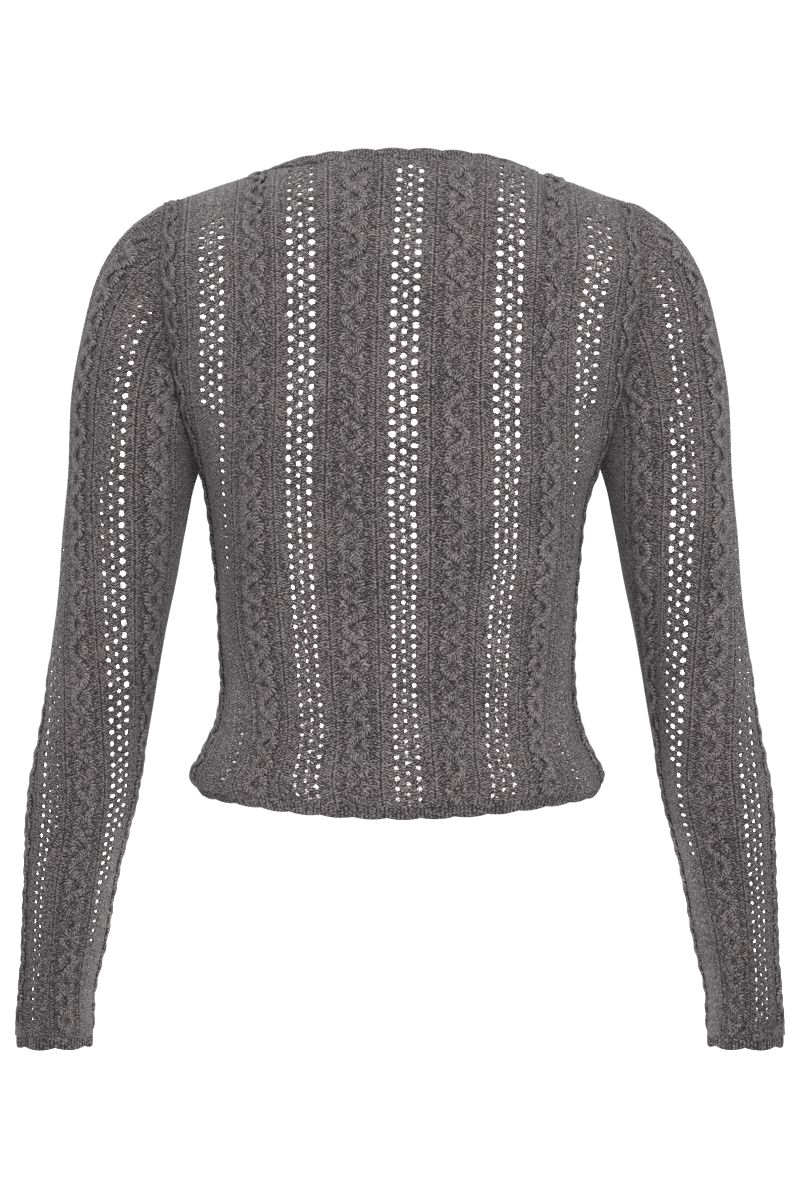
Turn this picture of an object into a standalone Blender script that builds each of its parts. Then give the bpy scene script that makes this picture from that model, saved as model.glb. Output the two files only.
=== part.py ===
"""Cable knit cardigan, worn shape, as hollow cloth walls.

Lengths are in millimetres until a piece becomes a mesh, which is in metres. +Z is up. The back of the
garment faces -Y and its front +Y. The origin is where it hangs on the wearer, midway between the tops of
the shoulders.

A piece of cloth is cut flat first, from points (wale, course). A wale is the distance across the knit
from the piece's middle, at the bust. A course is the height of a row of stitches, and over the shoulders
its distance along the cloth. The flat points are then placed on the body's or the arm's surface.
"""

import math

import bpy
import numpy as np
from mathutils import Vector
from mathutils.geometry import delaunay_2d_cdt

MM = 0.001

# Cloth
WALL = 1.8  # thickness of the plain knit
SEAM_GAP = 0.3  # between two pieces that are sewn together
RIB_RISE = 0.9  # the rib line beside each cable panel
CABLE_RISE = 2.4  # the top of a plait's strand
CABLE_DIP = 0.5  # the pit between its strands

# The knit's repeat, across the cloth at the bust
REPEAT = 71.5  # from one eyelet column to the next
EYELET_SPREAD = 7.6  # the two wide eyelet lines either side of a column's middle
EYELET_RADIUS = 2.25
COLUMN_HALF = 12.2  # half of the eyelet column, to its plain border
RIB_OFF = 17.0  # from a plait's middle to the rib line on either side
PLAIT_HALF = 8.0
PLAIT_ROWS = 4  # eyelet rows in one repeat of the plait
STRAND_HIGH = 0.38  # how far a strand lies from the plait's middle on top, as a share of its half width
STRAND_LOW = 0.6  # and between two tops
FIRST_ROW = -436.5  # the lowest eyelet row
CUT_ROWS = 40  # the rows, from the top, whose wide eyelets are cut through
CUT_WALES = 90.0  # and the reach from the middle of the columns that are cut

# The nearest that the points of these lines come to a piece's end
BORDER_MARGIN = 5.0
PLAIT_MARGIN = 7.0
SEAM_MARGIN = 8.0
RIB_MARGIN = 9.0

# Torso
HEM = -442.0
HEM_LIFT = 10.5  # how far the hem rises from the middle to the side seams
HEM_EASE = 70.0  # the height over which the rows straighten out above the hem
UNDERARM = -206.0
YOKE = -113.0  # above this the cloth bends forward over the shoulders
ROUNDNESS = 2.3  # exponent of the torso's oval section
FIXED_WALE = 159.5  # wales beyond this one close up towards the armhole
FIXED_END = 150.0  # how far across that wale ends, on the shoulder seam
NECK_WALE = 98.0  # the wale that ends where the neck meets the shoulder seam
NECK_HALF = 95.0
NECK_RISE = -0.2  # the back neckline's middle
NECK_BACK = -63.0
NECK_FRONT = 46.0  # depth of the front's surface, level with the shoulders
NECK_LEAN = 50.0  # degrees from level, of the cloth at the back neck
NECK_ROUNDNESS = 2.4
SHOULDER_IN = -4.5  # height of the shoulder seam at the neck
SHOULDER_OUT = (164.0, -26.0)  # its outer end, across and up
ARMHOLE_DEPTH = 40.0  # the armhole's half depth, back to front
FRONT_DROP = 150.0  # from the shoulder down to the middle of the front neckline
FRONT_CURVE = (2.2, 0.625)  # exponents of the front neckline's curve
YOKE_START = 0.40  # how far the cloth runs on straight up from the yoke, and then
YOKE_END = 0.36  # straight into the shoulder seam, as shares of its chord
SECTION_POINTS = 90
LINE_POINTS = 40

BODY_COLUMNS = ("height", "half_width", "back", "front", "sway")
BODY = (
    (-441, 134.5, 96, 92, -0.5),
    (-425, 143.0, 98, 94, -1.3),
    (-411, 137.0, 96, 93, -1.5),
    (-390, 127.5, 91, 91, -1.8),
    (-372, 122.6, 87, 89, -2.0),
    (-351, 121.0, 84, 88, -2.0),
    (-330, 121.8, 84, 89, -2.2),
    (-274, 126.2, 90, 94, -2.4),
    (-225, 134.0, 98, 101, -1.4),
    (-206, 139.8, 100, 103, 0.0),
    (-163, 151.5, 103, 104, 0.0),
    (-113, 162.0, 103, 100, 0.0),
)

ROW_COLUMNS = ("height", "pitch")
ROWS = (
    (-450, 7.1),
    (-400, 7.0),
    (-340, 6.6),
    (-280, 6.95),
    (-220, 7.7),
    (-180, 8.05),
    (-120, 8.2),
    (60, 8.2),
)
TOP_ROW = 60.0  # no course of the torso lies above this one

# Sleeves, from the cuff up, for the arm on the +X side
CUFF = -609.0
SLEEVE_FULL = -232.0  # the highest section that goes right round the arm
SLEEVE_GIRTH = 300.0
CAP_START = 0.30  # how far the cap runs straight out of the armhole, and then
CAP_END = 0.36  # straight down into the full section, as shares of its chord
CAP_WAY = ((0.6, 0.34), (0, -0.5), (-0.66, 0.32))  # its way out: a steady and a turning part of X, Y, Z

# The knit's repeat on the sleeve, as shares of its girth
SLEEVE_REPEAT = 0.222
SLEEVE_EYELETS = (-2, -1, 0, 1, 2)  # the eyelet columns, in repeats from the outer line
SLEEVE_PLAITS = (-1.5, -0.5, 0.5, 1.5)
PLAIT_SHARE = 0.027  # a plait's half width
RIB_SHARE = 0.058  # from a plait's middle to the rib line on either side

SLEEVE_COLUMNS = ("height", "across", "half_width", "forward", "half_depth", "turn")
SLEEVE = (
    (-609, 244.0, 25.8, 24, 29, 20),
    (-582, 243.5, 25.2, 24, 30, 24),
    (-537, 236.5, 28.0, 23, 33, 33),
    (-505, 232.0, 30.8, 21, 36, 35),
    (-463, 227.0, 34.6, 17, 39, 35),
    (-428, 221.0, 36.8, 13, 41, 40),
    (-372, 210.8, 37.2, 7, 42, 56),
    (-330, 203.5, 38.4, 3, 44, 66),
    (-274, 195.8, 41.0, 0, 46, 78),
    (-232, 190.0, 43.0, -2, 49, 88),
)

# Trims, bands and buttons
TRIM_WALL = 2.2
NECK_TRIM = 8.5
HEM_TRIM = 7.5
CUFF_TRIM = 6.5
SCALLOP = 1.9
SCALLOP_PITCH = 23.0
TRIM_STEP = 11.5
UNDER_BAND = (-9.0, 7.0)  # wales of the band between the fronts, which carries the buttons
UPPER_BAND = (-7.0, 12.0)  # and of the buttonhole band, which is sewn over the right front's edge
UPPER_HEIGHT = TRIM_WALL + SEAM_GAP  # its middle, over the middle of the fronts' cloth
BAND_STEP = 15.0
BUTTON_COUNT = 7
BUTTON_RADIUS = 5.5
BUTTON_SIDES = 12
BUTTON_GAP = 0.45
BUTTON_MARGIN = 15.0  # from a band's end to the nearest button's middle
BUTTON_COLUMNS = ("inset", "height")
BUTTON_PROFILE = ((0.8, 0.0), (0.0, 1.3), (0.9, 2.6))


def column(table, names, name):
    """One named column of a table."""
    return np.array([row[names.index(name)] for row in table], float)


def curve_through(x, y, at):
    """The value at one place of a smooth curve through points."""
    slope = np.gradient(y, x)
    at = min(max(at, x[0]), x[-1])
    i = min(int(np.searchsorted(x, at, side="right")) - 1, len(x) - 2)
    h = x[i + 1] - x[i]
    t = (at - x[i]) / h
    start = (2 * t**3 - 3 * t**2 + 1) * y[i] + (t**3 - 2 * t**2 + t) * h * slope[i]
    return start + (3 * t**2 - 2 * t**3) * y[i + 1] + (t**3 - t**2) * h * slope[i + 1]


def look_up(table, names, name, height):
    return curve_through(column(table, names, names[0]), column(table, names, name), height)


def body(name, height):
    return look_up(BODY, BODY_COLUMNS, name, height)


def arm(name, height):
    return look_up(SLEEVE, SLEEVE_COLUMNS, name, height)


def unit(vector):
    return vector / np.linalg.norm(vector)


def eyelet_rows():
    """The courses of the eyelet rows, from the hem up."""
    rows = [FIRST_ROW]
    while rows[-1] < TOP_ROW:
        rows.append(rows[-1] + look_up(ROWS, ROW_COLUMNS, "pitch", rows[-1]))
    return rows


EYELET_ROWS = eyelet_rows()


def course(row):
    """The course of a row number. Rows beyond the torso's go on at the pitch of its last ones."""
    end = len(EYELET_ROWS) - 1
    if row < 0:
        return EYELET_ROWS[0] + row * (EYELET_ROWS[1] - EYELET_ROWS[0])
    if row > end:
        return EYELET_ROWS[end] + (row - end) * (EYELET_ROWS[end] - EYELET_ROWS[end - 1])
    return EYELET_ROWS[int(row)]


# The torso's surface


def section(height, side):
    """Half of the torso's level section, from the middle out: distance along it, across and forward."""
    depth = body(side, height)
    half = body("half_width", height)
    end = math.pi / 2
    if height > UNDERARM:
        up = (height - UNDERARM) / (YOKE - UNDERARM)
        edge = ARMHOLE_DEPTH * math.sqrt(max(0.0, 1 - (1 - up) ** 2))
        share = (edge / depth) ** ROUNDNESS
        half = half / (1 - share) ** (1 / ROUNDNESS)
        end = math.acos(min(1.0, (edge / depth) ** (ROUNDNESS / 2)))
    turn = np.linspace(0, end, SECTION_POINTS)
    across = half * np.sin(turn) ** (2 / ROUNDNESS)
    forward = depth * np.maximum(np.cos(turn), 0) ** (2 / ROUNDNESS)
    if side == "back":
        forward = -forward
    steps = np.hypot(np.diff(across), np.diff(forward))
    return np.concatenate([[0], np.cumsum(steps)]), across, forward


def half_girth(side):
    return section(UNDERARM, side)[0][-1]


SIDE = {"back": half_girth("back"), "front": half_girth("front")}


def on_section(wale, height, side):
    """The point of a wale at a level below the yoke."""
    length, across, forward = section(height, side)
    reach = abs(wale)
    if height <= UNDERARM:
        at = reach * length[-1] / SIDE[side]
    elif reach <= FIXED_WALE:
        at = reach
    else:
        at = FIXED_WALE + (reach - FIXED_WALE) * (length[-1] - FIXED_WALE) / (SIDE[side] - FIXED_WALE)
    x = math.copysign(float(np.interp(at, length, across)), wale) + body("sway", height)
    return np.array([x, float(np.interp(at, length, forward)), height])


def shoulder_end(wale, side):
    """Where a wale ends at the top, and the lean of the cloth there in degrees."""
    reach = abs(wale)
    if reach < NECK_WALE:
        share = reach / NECK_WALE
        depth = (1 - share**NECK_ROUNDNESS) ** (1 / NECK_ROUNDNESS)
        x = NECK_HALF * share
        y = depth * (NECK_BACK if side == "back" else NECK_FRONT)
        z = NECK_RISE + (SHOULDER_IN - NECK_RISE) * share**2
        lean = NECK_LEAN * (1 - share**3)
    else:
        marks = (NECK_WALE, FIXED_WALE, SIDE[side])
        x = float(np.interp(reach, marks, (NECK_HALF, FIXED_END, SHOULDER_OUT[0])))
        share = (x - NECK_HALF) / (SHOULDER_OUT[0] - NECK_HALF)
        y = 0.0
        z = SHOULDER_IN + (SHOULDER_OUT[1] - SHOULDER_IN) * share
        lean = 0.0
    return np.array([math.copysign(x, wale), y, z]), math.radians(lean)


def bezier(start, first, second, end):
    t = np.linspace(0, 1, LINE_POINTS)[:, None]
    return (1 - t) ** 3 * start + 3 * t * (1 - t) ** 2 * first + 3 * t**2 * (1 - t) * second + t**3 * end


def lengths(points):
    return np.concatenate([[0], np.cumsum(np.linalg.norm(np.diff(points, axis=0), axis=1))])


YOKE_LINES = {}


def yoke_line(wale, side):
    """A wale's line above the yoke: its points and the distance along it."""
    key = (round(wale, 4), side)
    if key not in YOKE_LINES:
        start = on_section(wale, YOKE, side)
        upwards = unit(start - on_section(wale, YOKE - 4, side))
        end, lean = shoulder_end(wale, side)
        chord = np.linalg.norm(end - start)
        toward = 1 if side == "back" else -1
        arrive = np.array([0, toward * math.cos(lean), math.sin(lean)])
        first, second = start + YOKE_START * chord * upwards, end - YOKE_END * chord * arrive
        points = bezier(start, first, second, end)
        YOKE_LINES[key] = (points, lengths(points))
    return YOKE_LINES[key]


def top_course(wale, side):
    return YOKE + yoke_line(wale, side)[1][-1]


def hem_lift(wale, at, side):
    """How far a course near the hem is raised, towards the side seams."""
    share = abs(wale) / SIDE[side]
    ease = min(1.0, max(0.0, 1 - (at - HEM) / HEM_EASE)) ** 2
    return HEM_LIFT * share**2 * (3 - 2 * share) * ease


def torso_point(wale, at, side):
    """The middle of the cloth's thickness."""
    if at <= YOKE:
        return on_section(wale, at + hem_lift(wale, at, side), side)
    points, length = yoke_line(wale, side)
    along = min(at - YOKE, length[-1] + 20)
    if along > length[-1]:
        return points[-1] + (points[-1] - points[-2]) / (length[-1] - length[-2]) * (along - length[-1])
    return np.array([np.interp(along, length, points[:, k]) for k in range(3)])


def torso_normal(wale, at, side):
    """The cloth's outward direction."""
    edge = SIDE[side] - 0.01
    low, high = max(wale - 1.0, -edge), min(wale + 1.0, edge)
    top = top_course(min(abs(wale), edge), side)
    below, above = min(at, top) - 1.5, min(at + 1.5, top)
    across = torso_point(high, min(at, top), side) - torso_point(low, min(at, top), side)
    upwards = torso_point(wale, above, side) - torso_point(wale, below, side)
    out = unit(np.cross(across, upwards))
    return out if side == "back" else -out


def torso_cloth(side):
    return lambda wale, at: (torso_point(wale, at, side), torso_normal(wale, at, side))


# The sleeve's surface. Its wale is a share of the girth from the arm's outer line, + towards the back.


def arm_section(wale, height):
    """The point of a wale where the section goes right round the arm."""
    angle = math.radians(arm("turn", height)) - 2 * math.pi * wale
    out, back = math.sin(angle), math.cos(angle)
    x = arm("across", height) + arm("half_width", height) * out
    y = arm("forward", height) - arm("half_depth", height) * back
    return np.array([x, y, height])


def armhole_course(wale, side):
    """How high on the armhole a sleeve's wale ends."""
    share = 1 - abs(wale) / 0.5
    return UNDERARM + (top_course(SIDE[side], side) - UNDERARM) * share


def armhole_point(wale):
    side = "back" if wale >= 0 else "front"
    return torso_point(SIDE[side], armhole_course(wale, side), side)


CAP_LINES = {}


def cap_line(wale):
    """A sleeve wale's line from the full section up to the armhole."""
    wale -= round(wale)
    key = round(wale, 5)
    if key not in CAP_LINES:
        low, end = arm_section(wale, SLEEVE_FULL), armhole_point(wale)
        upwards = unit(low - arm_section(wale, SLEEVE_FULL - 4))
        angle = 2 * math.pi * wale
        swings = (math.cos(angle), math.sin(angle), math.cos(angle))
        leave = np.array([steady + turning * s for (steady, turning), s in zip(CAP_WAY, swings)])
        chord = np.linalg.norm(end - low)
        first, second = low + CAP_END * chord * upwards, end + CAP_START * chord * unit(leave)
        points = bezier(low, first, second, end)
        CAP_LINES[key] = (points, lengths(points))
    return CAP_LINES[key]


def cap_course(wale):
    return SLEEVE_FULL + cap_line(wale)[1][-1]


def sleeve_point(wale, at):
    if at <= SLEEVE_FULL:
        return arm_section(wale, at)
    points, length = cap_line(wale)
    along = min(at - SLEEVE_FULL, length[-1])
    return np.array([np.interp(along, length, points[:, k]) for k in range(3)])


def sleeve_normal(wale, at):
    top = cap_course(wale)
    share = (min(at, top) - SLEEVE_FULL) / (top - SLEEVE_FULL)

    def beside(step):
        """A neighbour on the same share of its own wale's cap, or at the same level below it."""
        if share <= 0:
            return sleeve_point(wale + step, at)
        return sleeve_point(wale + step, SLEEVE_FULL + share * (cap_course(wale + step) - SLEEVE_FULL))

    across = beside(0.004) - beside(-0.004)
    upwards = sleeve_point(wale, min(at + 1.5, top)) - sleeve_point(wale, min(at, top) - 1.5)
    return unit(np.cross(upwards, across))


def armhole_seam(wale):
    """A point of the armhole seam, the thickness direction that both pieces share there, the way from the
    torso to the sleeve, and the way round the seam from the underarm to the shoulder."""
    side = "back" if wale >= 0 else "front"
    at = armhole_course(wale, side)
    high = min(at + 1.5, top_course(SIDE[side], side))
    low = max(at - 1.5, UNDERARM)
    middle = torso_point(SIDE[side], at, side)
    round_it = unit(torso_point(SIDE[side], high, side) - torso_point(SIDE[side], low, side))
    if abs(wale) in (0.0, 0.5):
        round_it = np.array([0, math.copysign(1, at - UNDERARM - 1) * (1 if side == "back" else -1), 0])
    thick = torso_normal(SIDE[side] - 0.5, at, side) + sleeve_normal(wale, cap_course(wale))
    thick = unit(thick - round_it * (thick @ round_it))
    over = unit(np.cross(round_it, thick))
    into = sleeve_point(wale, cap_course(wale) - 6) - middle
    return middle, thick, over if over @ into > 0 else -over, round_it


# Flat pieces


class Flat:
    """A flat piece: its outline, its holes, and the raised points and lines on its outer face."""

    def __init__(self, outline):
        self.edge = list(outline)
        self.loops = [list(range(len(self.edge)))]
        self.centres = []
        self.raised, self.lines, self.plain = [], [], []

    def hole(self, wale, at, across, up):
        first = len(self.edge)
        self.edge += [(wale - across, at), (wale, at - up), (wale + across, at), (wale, at + up)]
        self.loops.append(list(range(first, first + 4)))
        self.centres.append((wale, at, across, up))

    def net(self, extra, lines):
        """Triangles over the piece, with its edges kept."""
        flat = [Vector(p[:2]) for p in self.edge + extra]
        kept = [(a, b) for loop in self.loops for a, b in zip(loop, loop[1:] + loop[:1])] + lines
        points, _, faces, _, _, _ = delaunay_2d_cdt(flat, kept, [], 1, 1e-6)
        if len(points) != len(flat):
            raise ValueError(f"the lines of a flat piece cross: {len(flat)} points became {len(points)}")
        triangles = []
        for a, b, c in faces:
            x, y = sum((flat[i] for i in (a, b, c)), Vector((0, 0))) / 3
            if not any(abs(x - s) / across + abs(y - v) / up < 1 for s, v, across, up in self.centres):
                triangles.append((a, b, c))
        return triangles

    def line(self, points):
        """A raised line on the outer face; its two ends may be points of the outline."""
        numbers = []
        for wale, at, rise in points:
            known = [i for i, p in enumerate(self.edge) if math.dist(p, (wale, at)) < 1e-6]
            if known:
                numbers.append(known[0])
            else:
                numbers.append(len(self.edge) + len(self.raised))
                self.raised.append((wale, at, rise))
        self.lines += list(zip(numbers, numbers[1:]))

    def wall(self, place, thickness, twins=None):
        """The closed wall's points and triangles. place(wale, course) gives a point and its outward way,
        and twins says which points of the outline are one point on a tube."""
        outer, inner = self.net(self.raised, self.lines), self.net(self.plain, [])
        twins = twins or {}
        outer = [tuple(twins.get(i, i) for i in face) for face in outer]
        inner = [tuple(twins.get(i, i) for i in face) for face in inner]
        points = []
        for wale, at, *rise in self.edge + self.raised:
            middle, out = place(wale, at)
            points.append(middle + out * (thickness / 2 + sum(rise)))
        base = len(points)
        for wale, at in self.edge + self.plain:
            middle, out = place(wale, at)
            points.append(middle - out * thickness / 2)
        faces = list(outer) + [(base + c, base + b, base + a) for a, b, c in inner]
        sides = {(a, b) for face in outer for a, b in zip(face, face[1:] + face[:1])}
        for a, b in sorted(sides):
            if (b, a) not in sides:
                faces += [(b, a, base + a), (b, base + a, base + b)]
        return points, faces


def add_piece(name, points, faces, finish, mirror=False):
    """An object from a closed solid in millimetres, with its faces turned outwards."""
    points = np.array(points) * MM * (-1 if mirror else 1, 1, 1)
    corners = points[np.array(faces)]
    if np.sum(corners[:, 0] * np.cross(corners[:, 1], corners[:, 2])) < 0:
        faces = [tuple(reversed(face)) for face in faces]
    used = sorted({i for face in faces for i in face})
    number = {old: new for new, old in enumerate(used)}
    mesh = bpy.data.meshes.new(name)
    mesh.from_pydata([points[i] for i in used], [], [tuple(number[i] for i in face) for face in faces])
    mesh.materials.append(finish)
    piece = bpy.data.objects.new(name, mesh)
    bpy.context.scene.collection.objects.link(piece)
    return piece


def make_finish(name, colour, roughness):
    finish = bpy.data.materials.new(name)
    finish.use_nodes = True
    shader = finish.node_tree.nodes["Principled BSDF"]
    shader.inputs["Base Color"].default_value = (*colour, 1)
    shader.inputs["Roughness"].default_value = roughness
    shader.inputs["Metallic"].default_value = 0
    return finish


def rows_between(low, high, step, margin):
    """Row numbers on the plait's grid whose courses lie clear of both ends."""
    count = len(EYELET_ROWS) - 1
    return [r for r in np.arange(0, count, step) if low + margin < course(r) < high - margin]


# Torso panels


def sleeve_marks():
    """The sleeve's upright lines, from the underarm round the arm to the underarm again."""
    marks = [-0.5, 0.5]
    marks += [SLEEVE_REPEAT * k for k in SLEEVE_EYELETS]
    for k in SLEEVE_PLAITS:
        marks += [SLEEVE_REPEAT * k + off for off in (-RIB_SHARE, -PLAIT_SHARE, 0, PLAIT_SHARE, RIB_SHARE)]
    return sorted(marks)


def panel_marks(side, start, end):
    """A torso panel's upright lines: (wale, kind), where the kind says what the line carries."""
    marks = [(start, "edge"), (end, "edge")]
    for k in range(-3, 4):
        middle = k * REPEAT
        found = [(middle, "eyelets"), (middle - COLUMN_HALF, "border"), (middle + COLUMN_HALF, "border")]
        plait = middle + REPEAT / 2
        found += [(plait - RIB_OFF, "rib"), (plait + RIB_OFF, "rib")]
        found += [(plait - PLAIT_HALF, "base"), (plait + PLAIT_HALF, "base"), (plait, "plait")]
        marks += [m for m in found if start + 3 < m[0] < end - 3]
    marks += [(s * NECK_WALE, "neck") for s in (-1, 1) if start < s * NECK_WALE < end]
    return sorted(marks)


def front_neck(wale):
    """The course of the front neckline at a wale inside the neck."""
    share = min(1.0, abs(wale) / NECK_WALE)
    drop = (1 - share ** FRONT_CURVE[0]) ** FRONT_CURVE[1]
    return top_course(NECK_WALE, "front") - FRONT_DROP * drop


def panel_top(wale, side):
    if side == "front" and abs(wale) < NECK_WALE:
        return front_neck(wale)
    return top_course(wale, side)


def torso_panel(side, start, end):
    """The flat back or one flat front, between two wales."""
    inset = SEAM_GAP / 2
    marks = panel_marks(side, start, end)
    limit = SIDE[side]
    bottom = [(w, HEM + inset) for w, _ in marks]
    top = [(w, panel_top(w, side) - inset) for w, _ in marks]
    bottom[0], bottom[-1] = (start + inset, HEM + inset), (end - inset, HEM + inset)
    top[0], top[-1] = (start + inset, top[0][1]), (end - inset, top[-1][1])

    def edge(wale, inner):
        """The upright edge between the hem and the top, going up."""
        if abs(wale) < limit - 1:
            return [(inner, course(r)) for r in rows_between(HEM, panel_top(wale, side), 2, BORDER_MARGIN)]
        low = [(inner, course(r)) for r in rows_between(HEM, UNDERARM, PLAIT_ROWS, SEAM_MARGIN)]
        sign = 1 if side == "back" else -1
        loop = [armhole_course(m, side) for m in sleeve_marks() if 0 < sign * m < 0.499]
        return low + [(inner, UNDERARM)] + [(inner, at) for at in sorted(loop)]

    right, left = edge(end, end - inset), edge(start, start + inset)
    flat = Flat(bottom + right + top[::-1] + left[::-1])
    ends = {w: (b, t) for (w, _), b, t in zip(marks, bottom, top)}
    return flat, marks, ends


def raise_lines(flat, marks, ends, across):
    """Ribs and plaits on the outer face, and the sparse points of the plain inner face."""
    for wale, kind in marks:
        low, high = ends[wale]
        rows = rows_between(low[1], high[1], PLAIT_ROWS, RIB_MARGIN)
        if kind == "rib":
            flat.line([(*low, 0), *[(wale, course(r), RIB_RISE) for r in rows], (*high, 0)])
        if kind == "base":
            flat.line([(*low, 0), *[(wale, course(r), 0) for r in rows], (*high, 0)])
            flat.plain += [(wale, course(r)) for r in rows]
        if kind == "plait":
            for hand in (-1, 1):
                strand = [(*low, 0)]
                for r in rows_between(low[1], high[1], PLAIT_ROWS / 2, PLAIT_MARGIN):
                    up = (round(2 * r / PLAIT_ROWS) % 2 == 0) == (hand > 0)
                    off = across * (STRAND_HIGH if up else STRAND_LOW)
                    strand.append((wale + hand * off, course(r), CABLE_RISE if up else CABLE_DIP))
                flat.line([*strand, (*high, 0)])


def border_points(flat, wale, low, high):
    rows = rows_between(low[1], high[1], PLAIT_ROWS, BORDER_MARGIN)
    flat.raised += [(wale, course(r), 0) for r in rows]
    flat.plain += [(wale, course(r)) for r in rows]


def torso_place(side):
    """How a torso panel's flat points lie in space, with the armhole's edge on its seam."""
    plain = torso_cloth(side)
    limit = SIDE[side] - 1
    sign = 1 if side == "back" else -1

    def place(wale, at):
        if abs(wale) < limit or at < UNDERARM - 0.01:
            return plain(wale, at)
        top = top_course(SIDE[side], side)
        share = min(1.0, (at - UNDERARM) / (top - UNDERARM))
        if share > 0.998:
            share = 1.0
        middle, thick, over, round_it = armhole_seam(sign * 0.5 * (1 - share) if share < 1 else 0.0)
        if share == 1 and side == "front":
            round_it = -round_it
        middle = middle - over * SEAM_GAP / 2
        if share == 1 or share == 0:
            middle[1] = -sign * SEAM_GAP / 2
        if wale < 0:
            middle, thick = middle * (-1, 1, 1), thick * (-1, 1, 1)
        return middle, thick

    return place


def build_back(finish):
    side = "back"
    flat, marks, ends = torso_panel(side, -SIDE[side], SIDE[side])
    last = rows_between(HEM, top_course(REPEAT, side), 1, BORDER_MARGIN)[-1]
    cut = [w for w, kind in marks if kind == "eyelets" and abs(w) < CUT_WALES]
    for middle in cut:
        for row in range(last - CUT_ROWS + 1, last + 1):
            for hand in (-1, 1):
                flat.hole(middle + hand * EYELET_SPREAD, course(row), EYELET_RADIUS, EYELET_RADIUS)
    raise_lines(flat, marks, ends, PLAIT_HALF)
    for wale, kind in marks:
        if kind == "border" or (kind == "eyelets" and wale not in cut):
            border_points(flat, wale, *ends[wale])
    points, faces = flat.wall(torso_place(side), WALL)
    return add_piece("back", points, faces, finish)


def build_front(name, start, end, finish):
    side = "front"
    flat, marks, ends = torso_panel(side, start, end)
    raise_lines(flat, marks, ends, PLAIT_HALF)
    for wale, kind in marks:
        if kind in ("border", "eyelets"):
            border_points(flat, wale, *ends[wale])
    points, faces = flat.wall(torso_place(side), WALL)
    return add_piece(name, points, faces, finish)


# Sleeves


def sleeve_place(wale_mm, at):
    """How a sleeve's flat points lie in space, with the cap's edge on the armhole seam."""
    wale = wale_mm / SLEEVE_GIRTH
    if at > cap_course(wale) - SEAM_GAP:
        middle, thick, over, _ = armhole_seam(wale)
        return middle + over * SEAM_GAP / 2, thick
    return sleeve_point(wale, at), sleeve_normal(wale, at)


def build_sleeves(finish):
    inset = SEAM_GAP / 2
    shares = sleeve_marks()
    bottom = [(m * SLEEVE_GIRTH, CUFF + inset) for m in shares]
    top = [(m * SLEEVE_GIRTH, cap_course(m) - inset) for m in shares]
    rows = sleeve_rows(CUFF, cap_course(0.5), PLAIT_ROWS, RIB_MARGIN)
    seam = [(0.5 * SLEEVE_GIRTH, course(r)) for r in rows]
    other = [(-w, at) for w, at in seam]
    flat = Flat(bottom + seam + top[::-1] + other[::-1])
    count = len(shares)
    right = [count - 1, *range(count, count + len(seam)), count + len(seam)]
    total = len(flat.edge)
    left = [0, *range(total - 1, total - 1 - len(seam), -1), total - 1 - len(seam)]
    ends = {m: (b, t) for m, b, t in zip(shares, bottom, top)}
    for k in SLEEVE_PLAITS:
        middle = SLEEVE_REPEAT * k
        for hand in (-1, 1):
            rib = middle + hand * RIB_SHARE
            base = middle + hand * PLAIT_SHARE
            sleeve_line(flat, ends[rib], RIB_RISE)
            sleeve_line(flat, ends[base], 0)
            low, high = ends[base]
            rows = sleeve_rows(low[1], high[1], PLAIT_ROWS, RIB_MARGIN)
            flat.plain += [(base * SLEEVE_GIRTH, course(r)) for r in rows]
            sleeve_strand(flat, ends[middle], hand)
    for k in SLEEVE_EYELETS:
        low, high = ends[SLEEVE_REPEAT * k]
        rows = sleeve_rows(low[1], high[1], PLAIT_ROWS, RIB_MARGIN)
        flat.raised += [(low[0], course(r), 0) for r in rows]
        flat.plain += [(low[0], course(r)) for r in rows]
    points, faces = flat.wall(sleeve_place, WALL, dict(zip(right, left)))
    add_piece("sleeve_right", points, faces, finish)
    add_piece("sleeve_left", points, faces, finish, mirror=True)


def sleeve_rows(low, high, step, margin):
    """Row numbers like the torso's, which go on below its hem."""
    first = -math.floor((FIRST_ROW - low) / (course(1) - course(0)) / step) * step
    found = np.arange(first, len(EYELET_ROWS) + 20, step)
    return [r for r in found if low + margin < course(r) < high - margin]


def sleeve_line(flat, end_points, rise):
    low, high = end_points
    rows = sleeve_rows(low[1], high[1], PLAIT_ROWS, PLAIT_MARGIN)
    flat.line([(*low, 0), *[(low[0], course(r), rise) for r in rows], (*high, 0)])


def sleeve_strand(flat, end_points, hand):
    low, high = end_points
    strand = [(*low, 0)]
    for r in sleeve_rows(low[1], high[1], PLAIT_ROWS / 2, SEAM_MARGIN):
        up = (round(2 * r / PLAIT_ROWS) % 2 == 0) == (hand > 0)
        off = PLAIT_SHARE * SLEEVE_GIRTH * (STRAND_HIGH if up else STRAND_LOW)
        strand.append((low[0] + hand * off, course(r), CABLE_RISE if up else CABLE_DIP))
    flat.line([*strand, (*high, 0)])


# Trims, bands and buttons


def bar(stations, closed=False):
    """A closed solid through four-cornered sections."""
    points = [corner for section_points in stations for corner in section_points]
    count = len(stations)
    faces = []
    for i in range(count if closed else count - 1):
        a, b = 4 * i, 4 * ((i + 1) % count)
        for k in range(4):
            n = (k + 1) % 4
            faces += [(a + k, b + k, b + n), (a + k, b + n, a + n)]
    if not closed:
        last = 4 * (count - 1)
        faces += [(0, 1, 2), (0, 2, 3), (last + 2, last + 1, last), (last + 3, last + 2, last)]
    return points, faces


def scallop(width, along):
    return width + SCALLOP * abs(math.sin(math.pi * along / SCALLOP_PITCH))


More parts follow.
